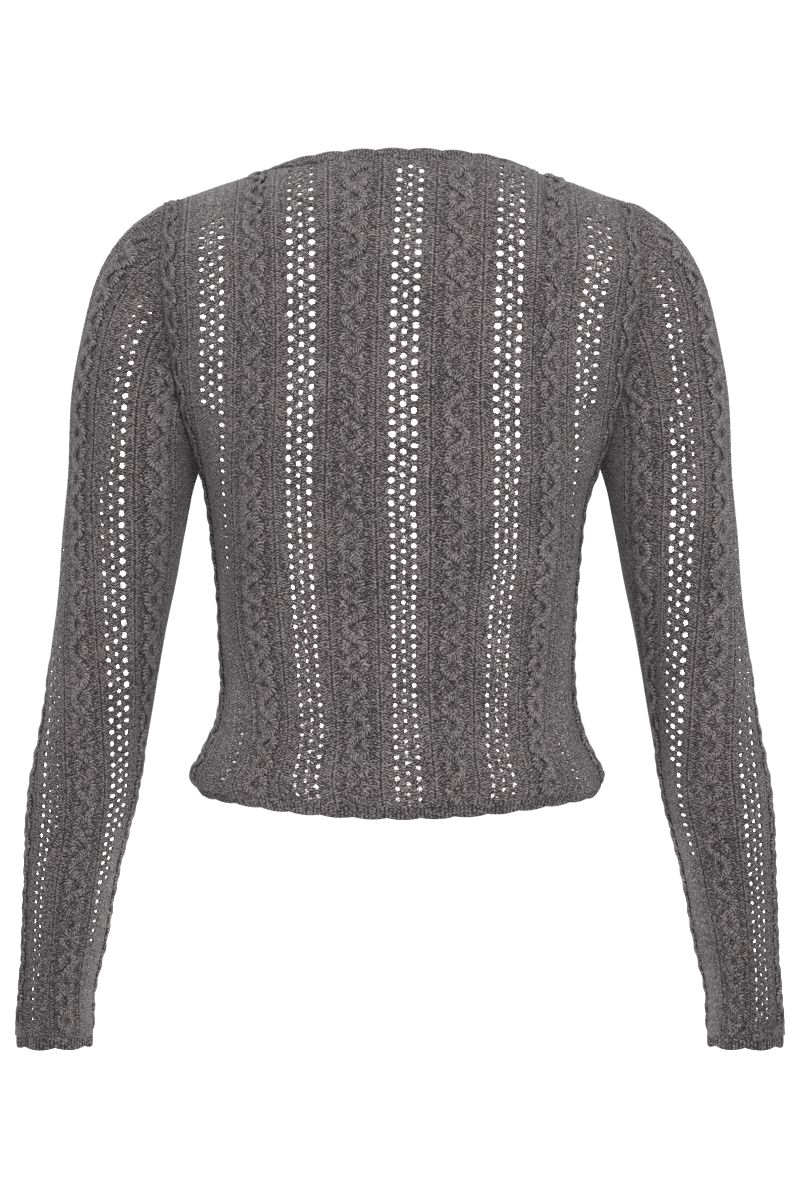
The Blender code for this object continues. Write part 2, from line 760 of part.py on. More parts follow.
def trim_sections(edge, outs, ways, width):
    """Sections of a trim from an edge's points, their outward ways and the ways it grows."""
    along = lengths(np.array(edge))
    stations = []
    for i in range(len(edge) - 1):
        steps = max(1, math.ceil((along[i + 1] - along[i]) / TRIM_STEP))
        last = i == len(edge) - 2
        for share in np.linspace(0, 1, steps + 1)[: None if last else -1]:
            mix = [unit((1 - share) * pair[i] + share * pair[i + 1]) for pair in (outs, ways)]
            spot = (1 - share) * edge[i] + share * edge[i + 1]
            reach = scallop(width, along[i] + share * (along[i + 1] - along[i]))
            near, far = spot + mix[1] * SEAM_GAP / 2, spot + mix[1] * reach
            half = mix[0] * TRIM_WALL / 2
            stations.append((near + half, near - half, far - half, far + half))
    return stations


def neck_edge():
    """The panels' neck edges as one line, from the right front round the back to the left front."""
    right = panel_marks("front", UNDER_BAND[1], SIDE["front"])
    back = panel_marks("back", -SIDE["back"], SIDE["back"])[::-1]
    left = panel_marks("front", -SIDE["front"], UNDER_BAND[0])
    spots = [(w, "front") for w, _ in right if w < NECK_WALE]
    spots += [(w, "back") for w, _ in back if abs(w) <= NECK_WALE]
    spots += [(w, "front") for w, _ in left if w > -NECK_WALE]
    inset = SEAM_GAP / 2
    return [(spots[0][0] + inset, "front"), *spots[1:-1], (spots[-1][0] - inset, "front")]


def neck_trim(finish):
    spots = neck_edge()
    edge = [torso_point(w, panel_top(w, side), side) for w, side in spots]
    outs = [torso_normal(w, panel_top(w, side), side) for w, side in spots]
    ways = []
    for i, spot in enumerate(edge):
        along = edge[min(i + 1, len(edge) - 1)] - edge[max(i - 1, 0)]
        way = unit(np.cross(outs[i], along))
        ways.append(way if way @ (np.array([0, 0, 30.0]) - spot) > 0 else -way)
    for end in (0, -1):
        wale, side = spots[end]
        top = panel_top(wale, side)
        ways[end] = unit(torso_point(wale, top + 2, side) - torso_point(wale, top - 2, side))
    points, faces = bar(trim_sections(edge, outs, ways, NECK_TRIM))
    return add_piece("neck_trim", points, faces, finish)


def hem_trim(name, side, start, end, finish):
    inset = SEAM_GAP / 2
    wales = [start + inset] + [w for w, _ in panel_marks(side, start, end)[1:-1]] + [end - inset]
    edge = [torso_point(w, HEM, side) for w in wales]
    outs = [torso_normal(w, HEM + 2, side) for w in wales]
    ways = [unit(torso_point(w, HEM - HEM_TRIM / 2, side) - torso_point(w, HEM, side)) for w in wales]
    points, faces = bar(trim_sections(edge, outs, ways, HEM_TRIM))
    return add_piece(name, points, faces, finish)


def cuff_trims(finish):
    shares = sleeve_marks()
    edge = [sleeve_point(m, CUFF) for m in shares]
    outs = [sleeve_normal(m, CUFF + 1.5) for m in shares]
    ways = [np.array([0, 0, -1.0])] * len(shares)
    stations = trim_sections(edge, outs, ways, CUFF_TRIM)[:-1]
    points, faces = bar(stations, closed=True)
    add_piece("cuff_trim_right", points, faces, finish)
    add_piece("cuff_trim_left", points, faces, finish, mirror=True)


def band(name, wales, height, finish):
    """A front band from the hem's edge to the neck's edge, at a height over the fronts' middle surface."""
    inset = SEAM_GAP / 2
    low, high = HEM - HEM_TRIM, front_neck(0) + NECK_TRIM
    stations = []
    for at in np.linspace(low, high, math.ceil((high - low) / BAND_STEP) + 1):
        corners = []
        for wale in (wales[0] + inset, wales[1] - inset):
            out = torso_normal(wale, at, "front")
            middle = torso_point(wale, at, "front") + out * height
            corners += [middle + out * TRIM_WALL / 2, middle - out * TRIM_WALL / 2]
        stations.append((corners[0], corners[1], corners[3], corners[2]))
    points, faces = bar(stations)
    return add_piece(name, points, faces, finish)


def buttons(finish):
    """Round buttons on the upper band, from the neck down."""
    wale = sum(UPPER_BAND) / 2
    high, low = front_neck(0) + NECK_TRIM - BUTTON_MARGIN, HEM - HEM_TRIM + BUTTON_MARGIN
    profile = list(zip(*(column(BUTTON_PROFILE, BUTTON_COLUMNS, name) for name in BUTTON_COLUMNS)))
    for number, at in enumerate(np.linspace(high, low, BUTTON_COUNT), 1):
        out = torso_normal(wale, at, "front")
        base = torso_point(wale, at, "front") + out * (UPPER_HEIGHT + TRIM_WALL / 2 + BUTTON_GAP)
        side = unit(np.cross(out, [0, 0, 1.0]))
        up = np.cross(side, out)
        points, faces = [], []
        for inset, height in profile:
            for k in range(BUTTON_SIDES):
                turn = 2 * math.pi * k / BUTTON_SIDES
                around = math.cos(turn) * side + math.sin(turn) * up
                points.append(base + out * height + (BUTTON_RADIUS - inset) * around)
        for ring in range(len(profile) - 1):
            for k in range(BUTTON_SIDES):
                a, b = ring * BUTTON_SIDES + k, ring * BUTTON_SIDES + (k + 1) % BUTTON_SIDES
                faces += [(a, b, b + BUTTON_SIDES), (a, b + BUTTON_SIDES, a + BUTTON_SIDES)]
        last = (len(profile) - 1) * BUTTON_SIDES
        for k in range(1, BUTTON_SIDES - 1):
            faces += [(k + 1, k, 0), (last, last + k, last + k + 1)]
        add_piece(f"button_{number}", points, faces, finish)


def remove_scene_objects():
    for thing in list(bpy.data.objects):
        bpy.data.objects.remove(thing, do_unlink=True)


def main():
    remove_scene_objects()
    knit = make_finish("grey_marl_knit", (0.105, 0.102, 0.105), 0.95)
    rib = make_finish("grey_marl_rib", (0.095, 0.093, 0.096), 0.95)
    shell = make_finish("grey_button", (0.16, 0.155, 0.155), 0.35)
    build_back(knit)
    build_front("front_left", -SIDE["front"], UNDER_BAND[0], knit)
    build_front("front_right", UNDER_BAND[1], SIDE["front"], knit)
    build_sleeves(knit)
    neck_trim(rib)
    hem_trim("hem_trim_back", "back", -SIDE["back"], SIDE["back"], rib)
    hem_trim("hem_trim_left", "front", -SIDE["front"], UNDER_BAND[0], rib)
    hem_trim("hem_trim_right", "front", UNDER_BAND[1], SIDE["front"], rib)
    cuff_trims(rib)
    band("button_band", UNDER_BAND, 0, rib)
    band("buttonhole_band", UPPER_BAND, UPPER_HEIGHT, rib)
    buttons(shell)


main()
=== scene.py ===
import math

import bpy
import numpy as np
from mathutils import Matrix


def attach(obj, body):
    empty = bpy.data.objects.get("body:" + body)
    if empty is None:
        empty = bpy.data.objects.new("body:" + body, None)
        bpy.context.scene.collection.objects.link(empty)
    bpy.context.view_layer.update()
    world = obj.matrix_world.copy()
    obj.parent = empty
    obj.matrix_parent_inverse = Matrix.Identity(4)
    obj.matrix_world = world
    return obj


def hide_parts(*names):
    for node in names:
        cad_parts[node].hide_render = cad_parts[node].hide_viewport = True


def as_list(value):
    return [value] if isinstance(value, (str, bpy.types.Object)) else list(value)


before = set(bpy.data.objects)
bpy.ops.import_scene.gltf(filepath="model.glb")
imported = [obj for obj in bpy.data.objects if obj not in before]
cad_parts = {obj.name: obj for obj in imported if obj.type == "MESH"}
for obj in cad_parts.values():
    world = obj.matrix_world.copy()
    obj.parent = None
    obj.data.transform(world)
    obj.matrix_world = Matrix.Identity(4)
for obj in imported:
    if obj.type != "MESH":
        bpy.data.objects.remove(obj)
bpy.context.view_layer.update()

mm = 0.001

# The cloth is laid out flat first, in millimetres: a wale is a place across the knit, a course a row of it.
# Both are then placed on the worn shape. +Z is up and the back of the garment faces -Y.

torso = {
    "hem": -442.0,
    "hemLift": 10.5,
    "hemEase": 70.0,
    "underarm": -206.0,
    "yoke": -113.0,
    "roundness": 2.3,
    "fixedWale": 159.5,
    "fixedEnd": 150.0,
    "neckWale": 98.0,
    "neckHalf": 95.0,
    "neckRise": -0.2,
    "neckBack": -63.0,
    "neckFront": 46.0,
    "neckLean": 50.0,
    "neckRoundness": 2.4,
    "shoulderIn": -4.5,
    "shoulderOut": (164.0, -26.0),
    "armholeDepth": 40.0,
    "frontDrop": 150.0,
    "frontCurve": (2.2, 0.625),
    "yokeStart": 0.40,
    "yokeEnd": 0.36,
    "columns": ("height", "halfWidth", "back", "front", "sway"),
    "shape": (
        (-441, 134.5, 96, 92, -0.5),
        (-425, 143.0, 98, 94, -1.3),
        (-411, 137.0, 96, 93, -1.5),
        (-390, 127.5, 91, 91, -1.8),
        (-372, 122.6, 87, 89, -2.0),
        (-351, 121.0, 84, 88, -2.0),
        (-330, 121.8, 84, 89, -2.2),
        (-274, 126.2, 90, 94, -2.4),
        (-225, 134.0, 98, 101, -1.4),
        (-206, 139.8, 100, 103, 0.0),
        (-163, 151.5, 103, 104, 0.0),
        (-113, 162.0, 103, 100, 0.0),
    ),
}

arm = {
    "cuff": -609.0,
    "full": -232.0,
    "girth": 300.0,
    "capStart": 0.30,
    "capEnd": 0.36,
    "capWay": ((0.6, 0.34), (0, -0.5), (-0.66, 0.32)),
    "columns": ("height", "across", "halfWidth", "forward", "halfDepth", "turn"),
    "shape": (
        (-609, 244.0, 25.8, 24, 29, 20),
        (-582, 243.5, 25.2, 24, 30, 24),
        (-537, 236.5, 28.0, 23, 33, 33),
        (-505, 232.0, 30.8, 21, 36, 35),
        (-463, 227.0, 34.6, 17, 39, 35),
        (-428, 221.0, 36.8, 13, 41, 40),
        (-372, 210.8, 37.2, 7, 42, 56),
        (-330, 203.5, 38.4, 3, 44, 66),
        (-274, 195.8, 41.0, 0, 46, 78),
        (-232, 190.0, 43.0, -2, 49, 88),
    ),
}


def curveThrough(x, y, at):
    slope = np.gradient(y, x)
    at = np.clip(at, x[0], x[-1])
    i = np.clip(np.searchsorted(x, at, side="right") - 1, 0, len(x) - 2)
    h = x[i + 1] - x[i]
    t = (at - x[i]) / h
    low = (2 * t**3 - 3 * t**2 + 1) * y[i] + (t**3 - 2 * t**2 + t) * h * slope[i]
    return low + (3 * t**2 - 2 * t**3) * y[i + 1] + (t**3 - t**2) * h * slope[i + 1]


def levelAt(form, name, height):
    table = np.array(form["shape"], float)
    return curveThrough(table[:, 0], table[:, form["columns"].index(name)], height)


def unit(v):
    return v / np.maximum(np.linalg.norm(v, axis=-1, keepdims=True), 1e-9)


def halfSection(height, side):
    depth, half, end = levelAt(torso, side, height), levelAt(torso, "halfWidth", height), math.pi / 2
    power = torso["roundness"]
    if height > torso["underarm"]:
        up = (height - torso["underarm"]) / (torso["yoke"] - torso["underarm"])
        edge = torso["armholeDepth"] * math.sqrt(max(0.0, 1 - (1 - up) ** 2))
        half = half / (1 - (edge / depth) ** power) ** (1 / power)
        end = math.acos(min(1.0, (edge / depth) ** (power / 2)))
    turn = np.linspace(0, end, 240)
    across = half * np.sin(turn) ** (2 / power)
    forward = depth * np.maximum(np.cos(turn), 0) ** (2 / power)
    if side == "back":
        forward = -forward
    return np.concatenate([[0], np.cumsum(np.hypot(np.diff(across), np.diff(forward)))]), across, forward


def shoulderEnd(wales, side):
    t = torso
    reach = abs(wales)
    share = np.minimum(1, reach / t["neckWale"])
    depth = np.maximum(0, 1 - share ** t["neckRoundness"]) ** (1 / t["neckRoundness"])
    x = np.where(share < 1, t["neckHalf"] * share, 0)
    y = depth * t["neckBack" if side == "back" else "neckFront"]
    z = t["neckRise"] + (t["shoulderIn"] - t["neckRise"]) * share**2
    lean = np.where(share < 1, t["neckLean"] * (1 - share**3), 0)
    marks = (t["neckWale"], t["fixedWale"], reach.max())
    outer = np.interp(reach, marks, (t["neckHalf"], t["fixedEnd"], t["shoulderOut"][0]))
    along = (outer - t["neckHalf"]) / (t["shoulderOut"][0] - t["neckHalf"])
    beyond = reach >= t["neckWale"]
    x = np.where(beyond, outer, x)
    y = np.where(beyond, 0, y)
    z = np.where(beyond, t["shoulderIn"] + (t["shoulderOut"][1] - t["shoulderIn"]) * along, z)
    return np.stack([np.copysign(x, wales), y, z], -1), np.radians(lean)


def bezierLines(start, first, second, end):
    t = np.linspace(0, 1, 60)[:, None, None]
    points = (1 - t) ** 3 * start + 3 * t * (1 - t) ** 2 * first + 3 * t**2 * (1 - t) * second + t**3 * end
    steps = np.linalg.norm(np.diff(points, axis=0), axis=2)
    return points, np.concatenate([np.zeros((1, len(start))), np.cumsum(steps, axis=0)])


def alongLines(points, length, along):
    rows = np.zeros((len(along), points.shape[1], 3))
    for w in range(points.shape[1]):
        on = np.minimum(along, length[-1, w])
        for k in range(3):
            rows[:, w, k] = np.interp(on, length[:, w], points[:, w, k])
        way = (points[-1, w] - points[-2, w]) / (length[-1, w] - length[-2, w])
        rows[:, w] += (along - on)[:, None] * way
    return rows


class Cloth:
    # a worn surface as a table of points over wale and course, with the way out of each
    def __init__(self, wales, courses, points, outward, tops):
        self.wales, self.courses, self.points, self.tops = wales, courses, points, tops
        self.normals = unit(np.cross(np.gradient(points, axis=1), np.gradient(points, axis=0)) * outward)

    def read(self, table, wale, course):
        x = np.clip((wale - self.wales[0]) / (self.wales[1] - self.wales[0]), 0, len(self.wales) - 1.0001)
        y = np.clip((course - self.courses[0]) / (self.courses[1] - self.courses[0]), 0, len(self.courses) - 1.0001)
        i, j = np.floor(x).astype(int), np.floor(y).astype(int)
        u, v = (x - i)[..., None], (y - j)[..., None]
        low = table[j, i] * (1 - u) + table[j, i + 1] * u
        return low * (1 - v) + (table[j + 1, i] * (1 - u) + table[j + 1, i + 1] * u) * v

    def spot(self, wale, course):
        return self.read(self.points, wale, course)

    def out(self, wale, course):
        return unit(self.read(self.normals, wale, course))

    def place(self, wale, course, rise):
        return self.spot(wale, course) + self.out(wale, course) * np.asarray(rise)[..., None]

    def top(self, wale):
        return np.interp(wale, self.wales, self.tops)


class Pattern:
    # the knit's lines on a worn surface: marks across it move sideways as the cloth hangs
    def __init__(self, cloth, marks, moves):
        self.cloth, self.marks, self.moves = cloth, np.array(marks, float), moves

    def wander(self, wale, course):
        wale, course = np.broadcast_arrays(np.asarray(wale, float), np.asarray(course, float))
        lines = []
        for mark in self.marks:
            move = self.moves.get(float(mark))
            lines.append(curveThrough(*np.array(move, float).T, course) if move else 0 * course)
        i = np.clip(np.searchsorted(self.marks, wale, side="right") - 1, 0, len(self.marks) - 2)
        t = np.clip((wale - self.marks[i]) / (self.marks[i + 1] - self.marks[i]), 0, 1)
        t = t * t * (3 - 2 * t)
        lines = np.stack(lines)
        low, high = (np.take_along_axis(lines, (i + k)[None], 0)[0] for k in (0, 1))
        return wale + low * (1 - t) + high * t

    def spot(self, wale, course):
        return self.cloth.spot(self.wander(wale, course), course)

    def out(self, wale, course):
        return self.cloth.out(self.wander(wale, course), course)

    def place(self, wale, course, rise):
        return self.cloth.place(self.wander(wale, course), course, rise)

    def top(self, wale):
        return self.cloth.top(self.wander(wale, 60.0))


def makeTorso(side):
    t = torso
    half = halfSection(t["underarm"], side)[0][-1]
    wales = np.linspace(-half, half, 397)
    reach = abs(wales)
    heights = np.arange(-472.0, t["yoke"] + 0.5, 1.0)
    level = np.zeros((len(heights), len(wales), 3))
    for row, height in enumerate(heights):
        length, across, forward = halfSection(height, side)
        if height <= t["underarm"]:
            at = reach * length[-1] / half
        else:
            fixed = t["fixedWale"]
            at = np.where(reach <= fixed, reach, fixed + (reach - fixed) * (length[-1] - fixed) / (half - fixed))
        level[row, :, 0] = np.copysign(np.interp(at, length, across), wales) + levelAt(t, "sway", height)
        level[row, :, 1] = np.interp(at, length, forward)
        level[row, :, 2] = height
    lower = np.arange(-468.0, t["yoke"] + 0.5, 1.0)
    share = reach / half
    ease = np.clip(1 - (lower[:, None] - t["hem"]) / t["hemEase"], 0, 1) ** 2
    height = lower[:, None] + t["hemLift"] * share**2 * (3 - 2 * share) * ease
    at = np.clip(height - heights[0], 0, len(heights) - 1.0001)
    row = np.floor(at).astype(int)
    rest = (at - row)[..., None]
    place = np.arange(len(wales))[None, :]
    low = level[row, place] * (1 - rest) + level[row + 1, place] * rest
    start, up = level[-1], unit(level[-1] - level[-5])
    end, lean = shoulderEnd(wales, side)
    toward = 1 if side == "back" else -1
    arrive = np.stack([np.zeros_like(lean), toward * np.cos(lean), np.sin(lean)], -1)
    chord = np.linalg.norm(end - start, axis=1)[:, None]
    first, second = start + t["yokeStart"] * chord * up, end - t["yokeEnd"] * chord * arrive
    points, length = bezierLines(start, first, second, end)
    tops = t["yoke"] + length[-1]
    upper = np.arange(t["yoke"] + 1, tops.max() + 14, 1.0)
    high = alongLines(points, length, upper - t["yoke"])
    outward = 1 if side == "back" else -1
    return Cloth(wales, np.concatenate([lower, upper]), np.concatenate([low, high]), outward, tops), half


def armSection(shares, heights):
    angle = np.radians(levelAt(arm, "turn", heights)) - 2 * np.pi * shares
    x = levelAt(arm, "across", heights) + levelAt(arm, "halfWidth", heights) * np.sin(angle)
    y = levelAt(arm, "forward", heights) - levelAt(arm, "halfDepth", heights) * np.cos(angle)
    return np.stack([x, y, heights + 0 * shares], -1)


def makeSleeve():
    shares = np.linspace(-0.5, 0.5, 401)
    lower = np.arange(-640.0, arm["full"] + 0.5, 1.0)
    low = armSection(shares[None, :], lower[:, None])
    onHole = 1 - abs(shares) / 0.5
    ends = []
    for side in ("front", "back"):
        course = torso["underarm"] + (cloths[side].tops[-1] - torso["underarm"]) * onHole
        ends.append(cloths[side].spot(np.full(len(shares), sides[side]), course))
    end = np.where(shares[:, None] >= 0, ends[1], ends[0])
    start, up = low[-1], unit(low[-1] - low[-5])
    turn = 2 * np.pi * shares
    swing = (np.cos(turn), np.sin(turn), np.cos(turn))
    leave = unit(np.stack([steady + turning * s for (steady, turning), s in zip(arm["capWay"], swing)], -1))
    chord = np.linalg.norm(end - start, axis=1)[:, None]
    points, length = bezierLines(start, start + arm["capEnd"] * chord * up, end + arm["capStart"] * chord * leave, end)
    tops = arm["full"] + length[-1]
    upper = np.arange(arm["full"] + 1, tops.max() + 4, 1.0)
    high = alongLines(points, length, upper - arm["full"])
    cloth = Cloth(shares * arm["girth"], np.concatenate([lower, upper]), np.concatenate([low, high]), -1, tops)
    joined = unit(cloth.normals[:, 0] + cloth.normals[:, -1])
    cloth.normals[:, 0] = cloth.normals[:, -1] = joined
    return cloth


cloths, sides, pieces = {}, {}, {}
for side in ("back", "front"):
    cloths[side], sides[side] = makeTorso(side)
cloths["sleeve"] = makeSleeve()
print("worn surfaces ready: half back", round(sides["back"], 1), "half front", round(sides["front"], 1))

# The knit's layout: eyelet columns with a plait between each two, the same on every piece

knit = {
    "repeat": 71.5,
    "sleeveRepeat": 66.6,
    "eyeletLine": 7.6,
    "eyeletWide": 2.35,
    "eyeletHigh": 2.15,
    "middleSize": 0.85,
    "smallest": 0.7,
    "least": 0.3,
    "widest": 3.2,
    "turned": {"torso": (0.55, 0.3), "sleeve": (0.5, 0.4)},
    "sleeveHigh": 1.12,
    "rimLift": 0.25,
    "jitter": (0.16, 0.16, 0.22, 0.22),
    "ribOff": 17.0,
    "plaitRows": 4,
    "thickness": 1.5,
    "drape": 0.42,
    "waves": (
        (0.031, 0.012, 0.043, 0.3), (-0.052, 0.03, 0.037, 1.9), (0.019, -0.04, -0.071, 4.0), (0.083, 0.02, 0.024, 5.1),
    ),
    "firstRow": -436.5,
    "rowPitch": (
        (-450, 7.1), (-400, 7.0), (-340, 6.6), (-280, 6.95), (-220, 7.7), (-180, 8.05), (-120, 8.2), (60, 8.2),
    ),
    "lastRow": 62,
    "sleeveFirstRow": -602.0,
    "sleeveLastRow": 8,
    "sleevePitch": (
        (-620, 7.0), (-440, 7.1), (-410, 7.6), (-380, 8.3), (-330, 8.6), (-270, 8.3), (-200, 8.0), (20, 7.6),
    ),
    "seed": 7,
}
columnHalf = 1.5 * knit["eyeletLine"]
torsoPlaits = [knit["repeat"] * (k + 0.5) for k in range(-3, 3)]
sleevePlaits = [knit["sleeveRepeat"] * (k + 0.5) for k in range(-2, 2)]

# the cloth beside a plait: two fine ribs with a furrow between them, and a shallow dip next to the plait
ribs = {
    "rise": 0.45,
    "off": 1.2,
    "wide": 0.6,
    "furrow": 0.3,
    "furrowWide": 0.5,
    "dip": 0.25,
    "dipOff": 11.6,
    "dipWide": 1.0,
    "onSleeve": 1.5,
}

# the cloth near a seam: the ribs fade out over its margin, and it is fuller in its upper part
seam = {
    "margin": 4.5,
    "sink": 0.2,
    "full": 13.0,
    "fullFrom": -190,
    "fullOver": 50,
    "rise": 1.6,
    "shoulder": 4.0,
    "shoulderSink": 0.4,
}

# how far each eyelet column has moved sideways, by course, where the hanging cloth draws it out of line
wander = {
    "back": {
        -143.0: (
            (-436, 4), (-420, 13), (-403, 13), (-389, 9), (-366, -2), (-338, -13), (-301, -16), (-267, -11),
            (-229, -4), (-187, 5), (-146, 9), (-119, 11), (-62, 9),
        ),
        -71.5: (
            (-434, 8.5), (-390, 7.5), (-356, 0.5), (-316, -1.5), (-264, -1.5), (-201, 2.5), (-100, 4.5),
            (-4, 1),
        ),
        0.0: ((-430, 7), (-336, 5.5), (-277, 5.5), (-201, 2), (-100, 3.5), (-7, 7.5)),
        71.5: (
            (-436, 1), (-411, 0), (-386, 5), (-356, 9), (-302, 11.5), (-277, 12.5), (-248, 10), (-204, 3),
            (-100, 3), (-6, 7.5),
        ),
        143.0: (
            (-429, -3), (-406, -8), (-379, 1.6), (-347, 10), (-296, 16), (-245, 14), (-225, 6), (-202, -4),
            (-146, -10), (-119, -9.4), (-62, 0),
        ),
    },
    "sleeveLeft": {
        0.0: ((-500, 0), (-464, 4), (-400, 3), (-340, 0)),
        66.6: (
            (-600, 7), (-540, 8), (-516, 8.2), (-496, 9), (-479, 8), (-459, 6.2), (-441, 5.5), (-406, 2.4),
            (-371, 2), (-336, -1.6), (-274, -3.8), (-233, -2.6), (-199, -1), (-169, -2.5), (-146, -3.5),
            (-122, -6.5), (-100, -8),
        ),
    },
    "sleeveRight": {
        0.0: ((-447, 1), (-414, 5), (-370, 3), (-330, 0)),
        66.6: (
            (-540, 4), (-482, 12), (-442, 15), (-406, 11), (-375, 10), (-340, 6.4), (-308, 3.4), (-254, 1.4),
            (-167, 2), (-149, 1.4), (-124, -2.6), (-100, -9.6), (-75, -17),
        ),
    },
}
patterns = {"front": cloths["front"]}
patterns["back"] = Pattern(cloths["back"], (-sides["back"], -143, -71.5, 0, 71.5, 143, sides["back"]), wander["back"])
for hand in ("Left", "Right"):
    patterns["sleeve" + hand] = Pattern(cloths["sleeve"], (-150, -66.6, 0, 66.6, 110, 150), wander["sleeve" + hand])


def eyeletRows(first, pitches, top):
    table = np.array(pitches, float)
    rows = [first]
    while rows[-1] < top:
        rows.append(rows[-1] + float(curveThrough(table[:, 0], table[:, 1], rows[-1])))
    return np.array(rows)


def quarterRows(rows):
    # from half a row below the first one, four to a row
    longer = np.concatenate([[2 * rows[0] - rows[1]], rows])
    return np.interp(np.arange(0.5, len(rows) + 1e-6, 0.25), np.arange(len(longer)), longer)


class Net:
    # a flat piece as points over (wale, course) and the faces between them
    def __init__(self, top):
        self.edge, self.tops, self.known, self.flat, self.lift, self.faces = top, {}, {}, [], [], []

    def top(self, wale):
        if wale not in self.tops:
            self.tops[wale] = float(self.edge(wale))
        return self.tops[wale]

    def point(self, wale, course, lift=0.0):
        course = min(course, self.top(wale))
        key = (round(wale, 3), round(course, 3))
        if key not in self.known:
            self.known[key] = len(self.flat)
            self.flat.append((wale, course))
            self.lift.append(lift)
        return self.known[key]

    def face(self, corners):
        kept = []
        for corner in corners:
            if not kept or corner != kept[-1]:
                kept.append(corner)
        if len(kept) > 1 and kept[0] == kept[-1]:
            kept.pop()
        if len(set(kept)) > 2 and len(set(kept)) == len(kept):
            self.faces.append(kept)

    def grid(self, wales, courses):
        for a, b in zip(wales[:-1], wales[1:]):
            for low, high in zip(courses[:-1], courses[1:]):
                self.face([self.point(a, low), self.point(b, low), self.point(b, high), self.point(a, high)])

    def cell(self, wales, courses, hole, finer):
        # wales: left, middle, right; courses: low, middle, high; finer: the sides with quarter points
        (a, m, b), (low, mid, high) = wales, courses
        ring = [(b, mid), (b, high), (m, high), (a, high), (a, mid), (a, low), (m, low), (b, low)]
        upper, lower = (mid + high) / 2, (mid + low) / 2
        between = {0: (b, upper, 1), 3: (a, upper, -1), 4: (a, lower, -1), 7: (b, lower, 1)}
        rim = [self.point(*p) for p in ring]
        if hole is None:
            inner = [self.point(m, mid)] * 8
        else:
            wide, tall, x, y = hole
            turn = [k * math.pi / 4 for k in range(8)]
            oval = [(m + x + wide * math.cos(t), mid + y + tall * math.sin(t)) for t in turn]
            inner = [self.point(*spot, knit["rimLift"]) for spot in oval]
        for k in range(8):
            n = (k + 1) % 8
            corners = [inner[k], rim[k]]
            if k in between and between[k][2] in finer:
                corners.append(self.point(*between[k][:2]))
            self.face(corners + [rim[n], inner[n]])


def eyeletColumn(net, middle, rows, low, first, size, rng):
    # three lines of eyelets, the middle one half a row higher
    line = knit["eyeletLine"]
    half = line / 2
    quarters = quarterRows(rows)
    for k in (-1, 0, 1):
        m = middle + k * line
        wales = (m - half, m, m + half)
        finer = {-1: (-1,), 0: (), 1: (1,)}[k]
        start = 0 if k else 2
        for q in range(start, len(quarters) - 4, 4):
            courses = (quarters[q], quarters[q + 2], quarters[q + 4])
            hole = None
            if q // 4 >= first and courses[2] < min(net.top(w) for w in wales) - 0.5:
                wide, high = size(m, courses[1], k)
                jitter = rng.uniform(-1, 1, 4) * knit["jitter"]
                if wide > knit["smallest"]:
                    hole = (wide * (1 + jitter[0]), high * (1 + jitter[1]), jitter[2], jitter[3])
            net.cell(wales, courses, hole, finer)
        if k:
            net.grid(wales, [low, quarters[0]])
        else:
            net.grid(wales, [low, quarters[0], quarters[2]])


def panelWales(centre, left, right):
    # uprights of the plain cloth and the ribs round a plait, kept inside the panel
    offs = (-23.0, -20.6, -19.0, -18.2, -17.5, -17.0, -16.5, -15.8, -15.0, -12.6, -10.2, -9.2, -4.5, 0.0)
    offs += tuple(-o for o in offs[-2::-1])
    return [left] + [centre + o for o in offs if left + 0.5 < centre + o < right - 0.5] + [right]


def relief(wale, plaits):
    rise = np.zeros_like(wale)
    for plait in plaits:
        away = abs(wale - plait)
        off = away - knit["ribOff"]
        for height, x in (
            (ribs["rise"], (abs(off) - ribs["off"]) / ribs["wide"]),
            (-ribs["furrow"], off / ribs["furrowWide"]),
            (-ribs["dip"], (away - ribs["dipOff"]) / ribs["dipWide"]),
        ):
            rise += height * np.exp(-(x**2))
    return rise


def nearSeam(rise, far, course):
    edge = np.clip(1 - far / seam["margin"], 0, 1)
    full = np.clip(1 - far / seam["full"], 0, 1) * np.clip((course - seam["fullFrom"]) / seam["fullOver"], 0, 1)
    return rise * (1 - edge) + seam["rise"] * full * full * (3 - 2 * full) - seam["sink"] * edge**2


def drape(points):
    # slow unevenness of worn cloth, in millimetres
    x, y, z = points[..., 0], points[..., 1], points[..., 2]
    return sum(knit["drape"] * np.sin(a * x + b * y + c * z + d) for a, b, c, d in knit["waves"])


def wallMesh(name, net, cloth, rise, mirror=False):
    # the closed wall over a net, with the flat place of each point as its UV, in metres
    flat = np.array(net.flat)
    wale, course = flat[:, 0], flat[:, 1]
    wave = drape(cloth.spot(wale, course))
    half = knit["thickness"] / 2
    outer = cloth.place(wale, course, half + rise + wave + np.array(net.lift))
    inner = cloth.place(wale, course, -half + wave + np.minimum(rise, 0))
    count = len(flat)
    points = np.concatenate([outer, inner]) * mm
    faces = [list(f) for f in net.faces]
    edges = {edge: True for f in faces for edge in zip(f, f[1:] + f[:1])}
    rims = [(a, b) for a, b in edges if (b, a) not in edges]
    inside = [[v + count for v in reversed(f)] for f in faces]
    everything = faces + inside + [[b, a, a + count, b + count] for a, b in rims]
    if mirror:
        points = points * (-1, 1, 1)
        everything = [list(reversed(f)) for f in everything]
    uv = np.concatenate([flat, flat]) * mm
    lift = np.array(net.lift) > 0
    border = [tuple(sorted(rim)) for rim in rims if not (lift[rim[0]] and lift[rim[1]])]
    outline = set(border) | {(a + count, b + count) for a, b in border}
    piece = makeMesh(name, points, everything, uv)
    ends = np.zeros(len(piece.data.edges) * 2, int)
    piece.data.edges.foreach_get("vertices", ends)
    for edge, (a, b) in zip(piece.data.edges, ends.reshape(-1, 2)):
        edge.use_edge_sharp = (min(a, b), max(a, b)) in outline
    return piece


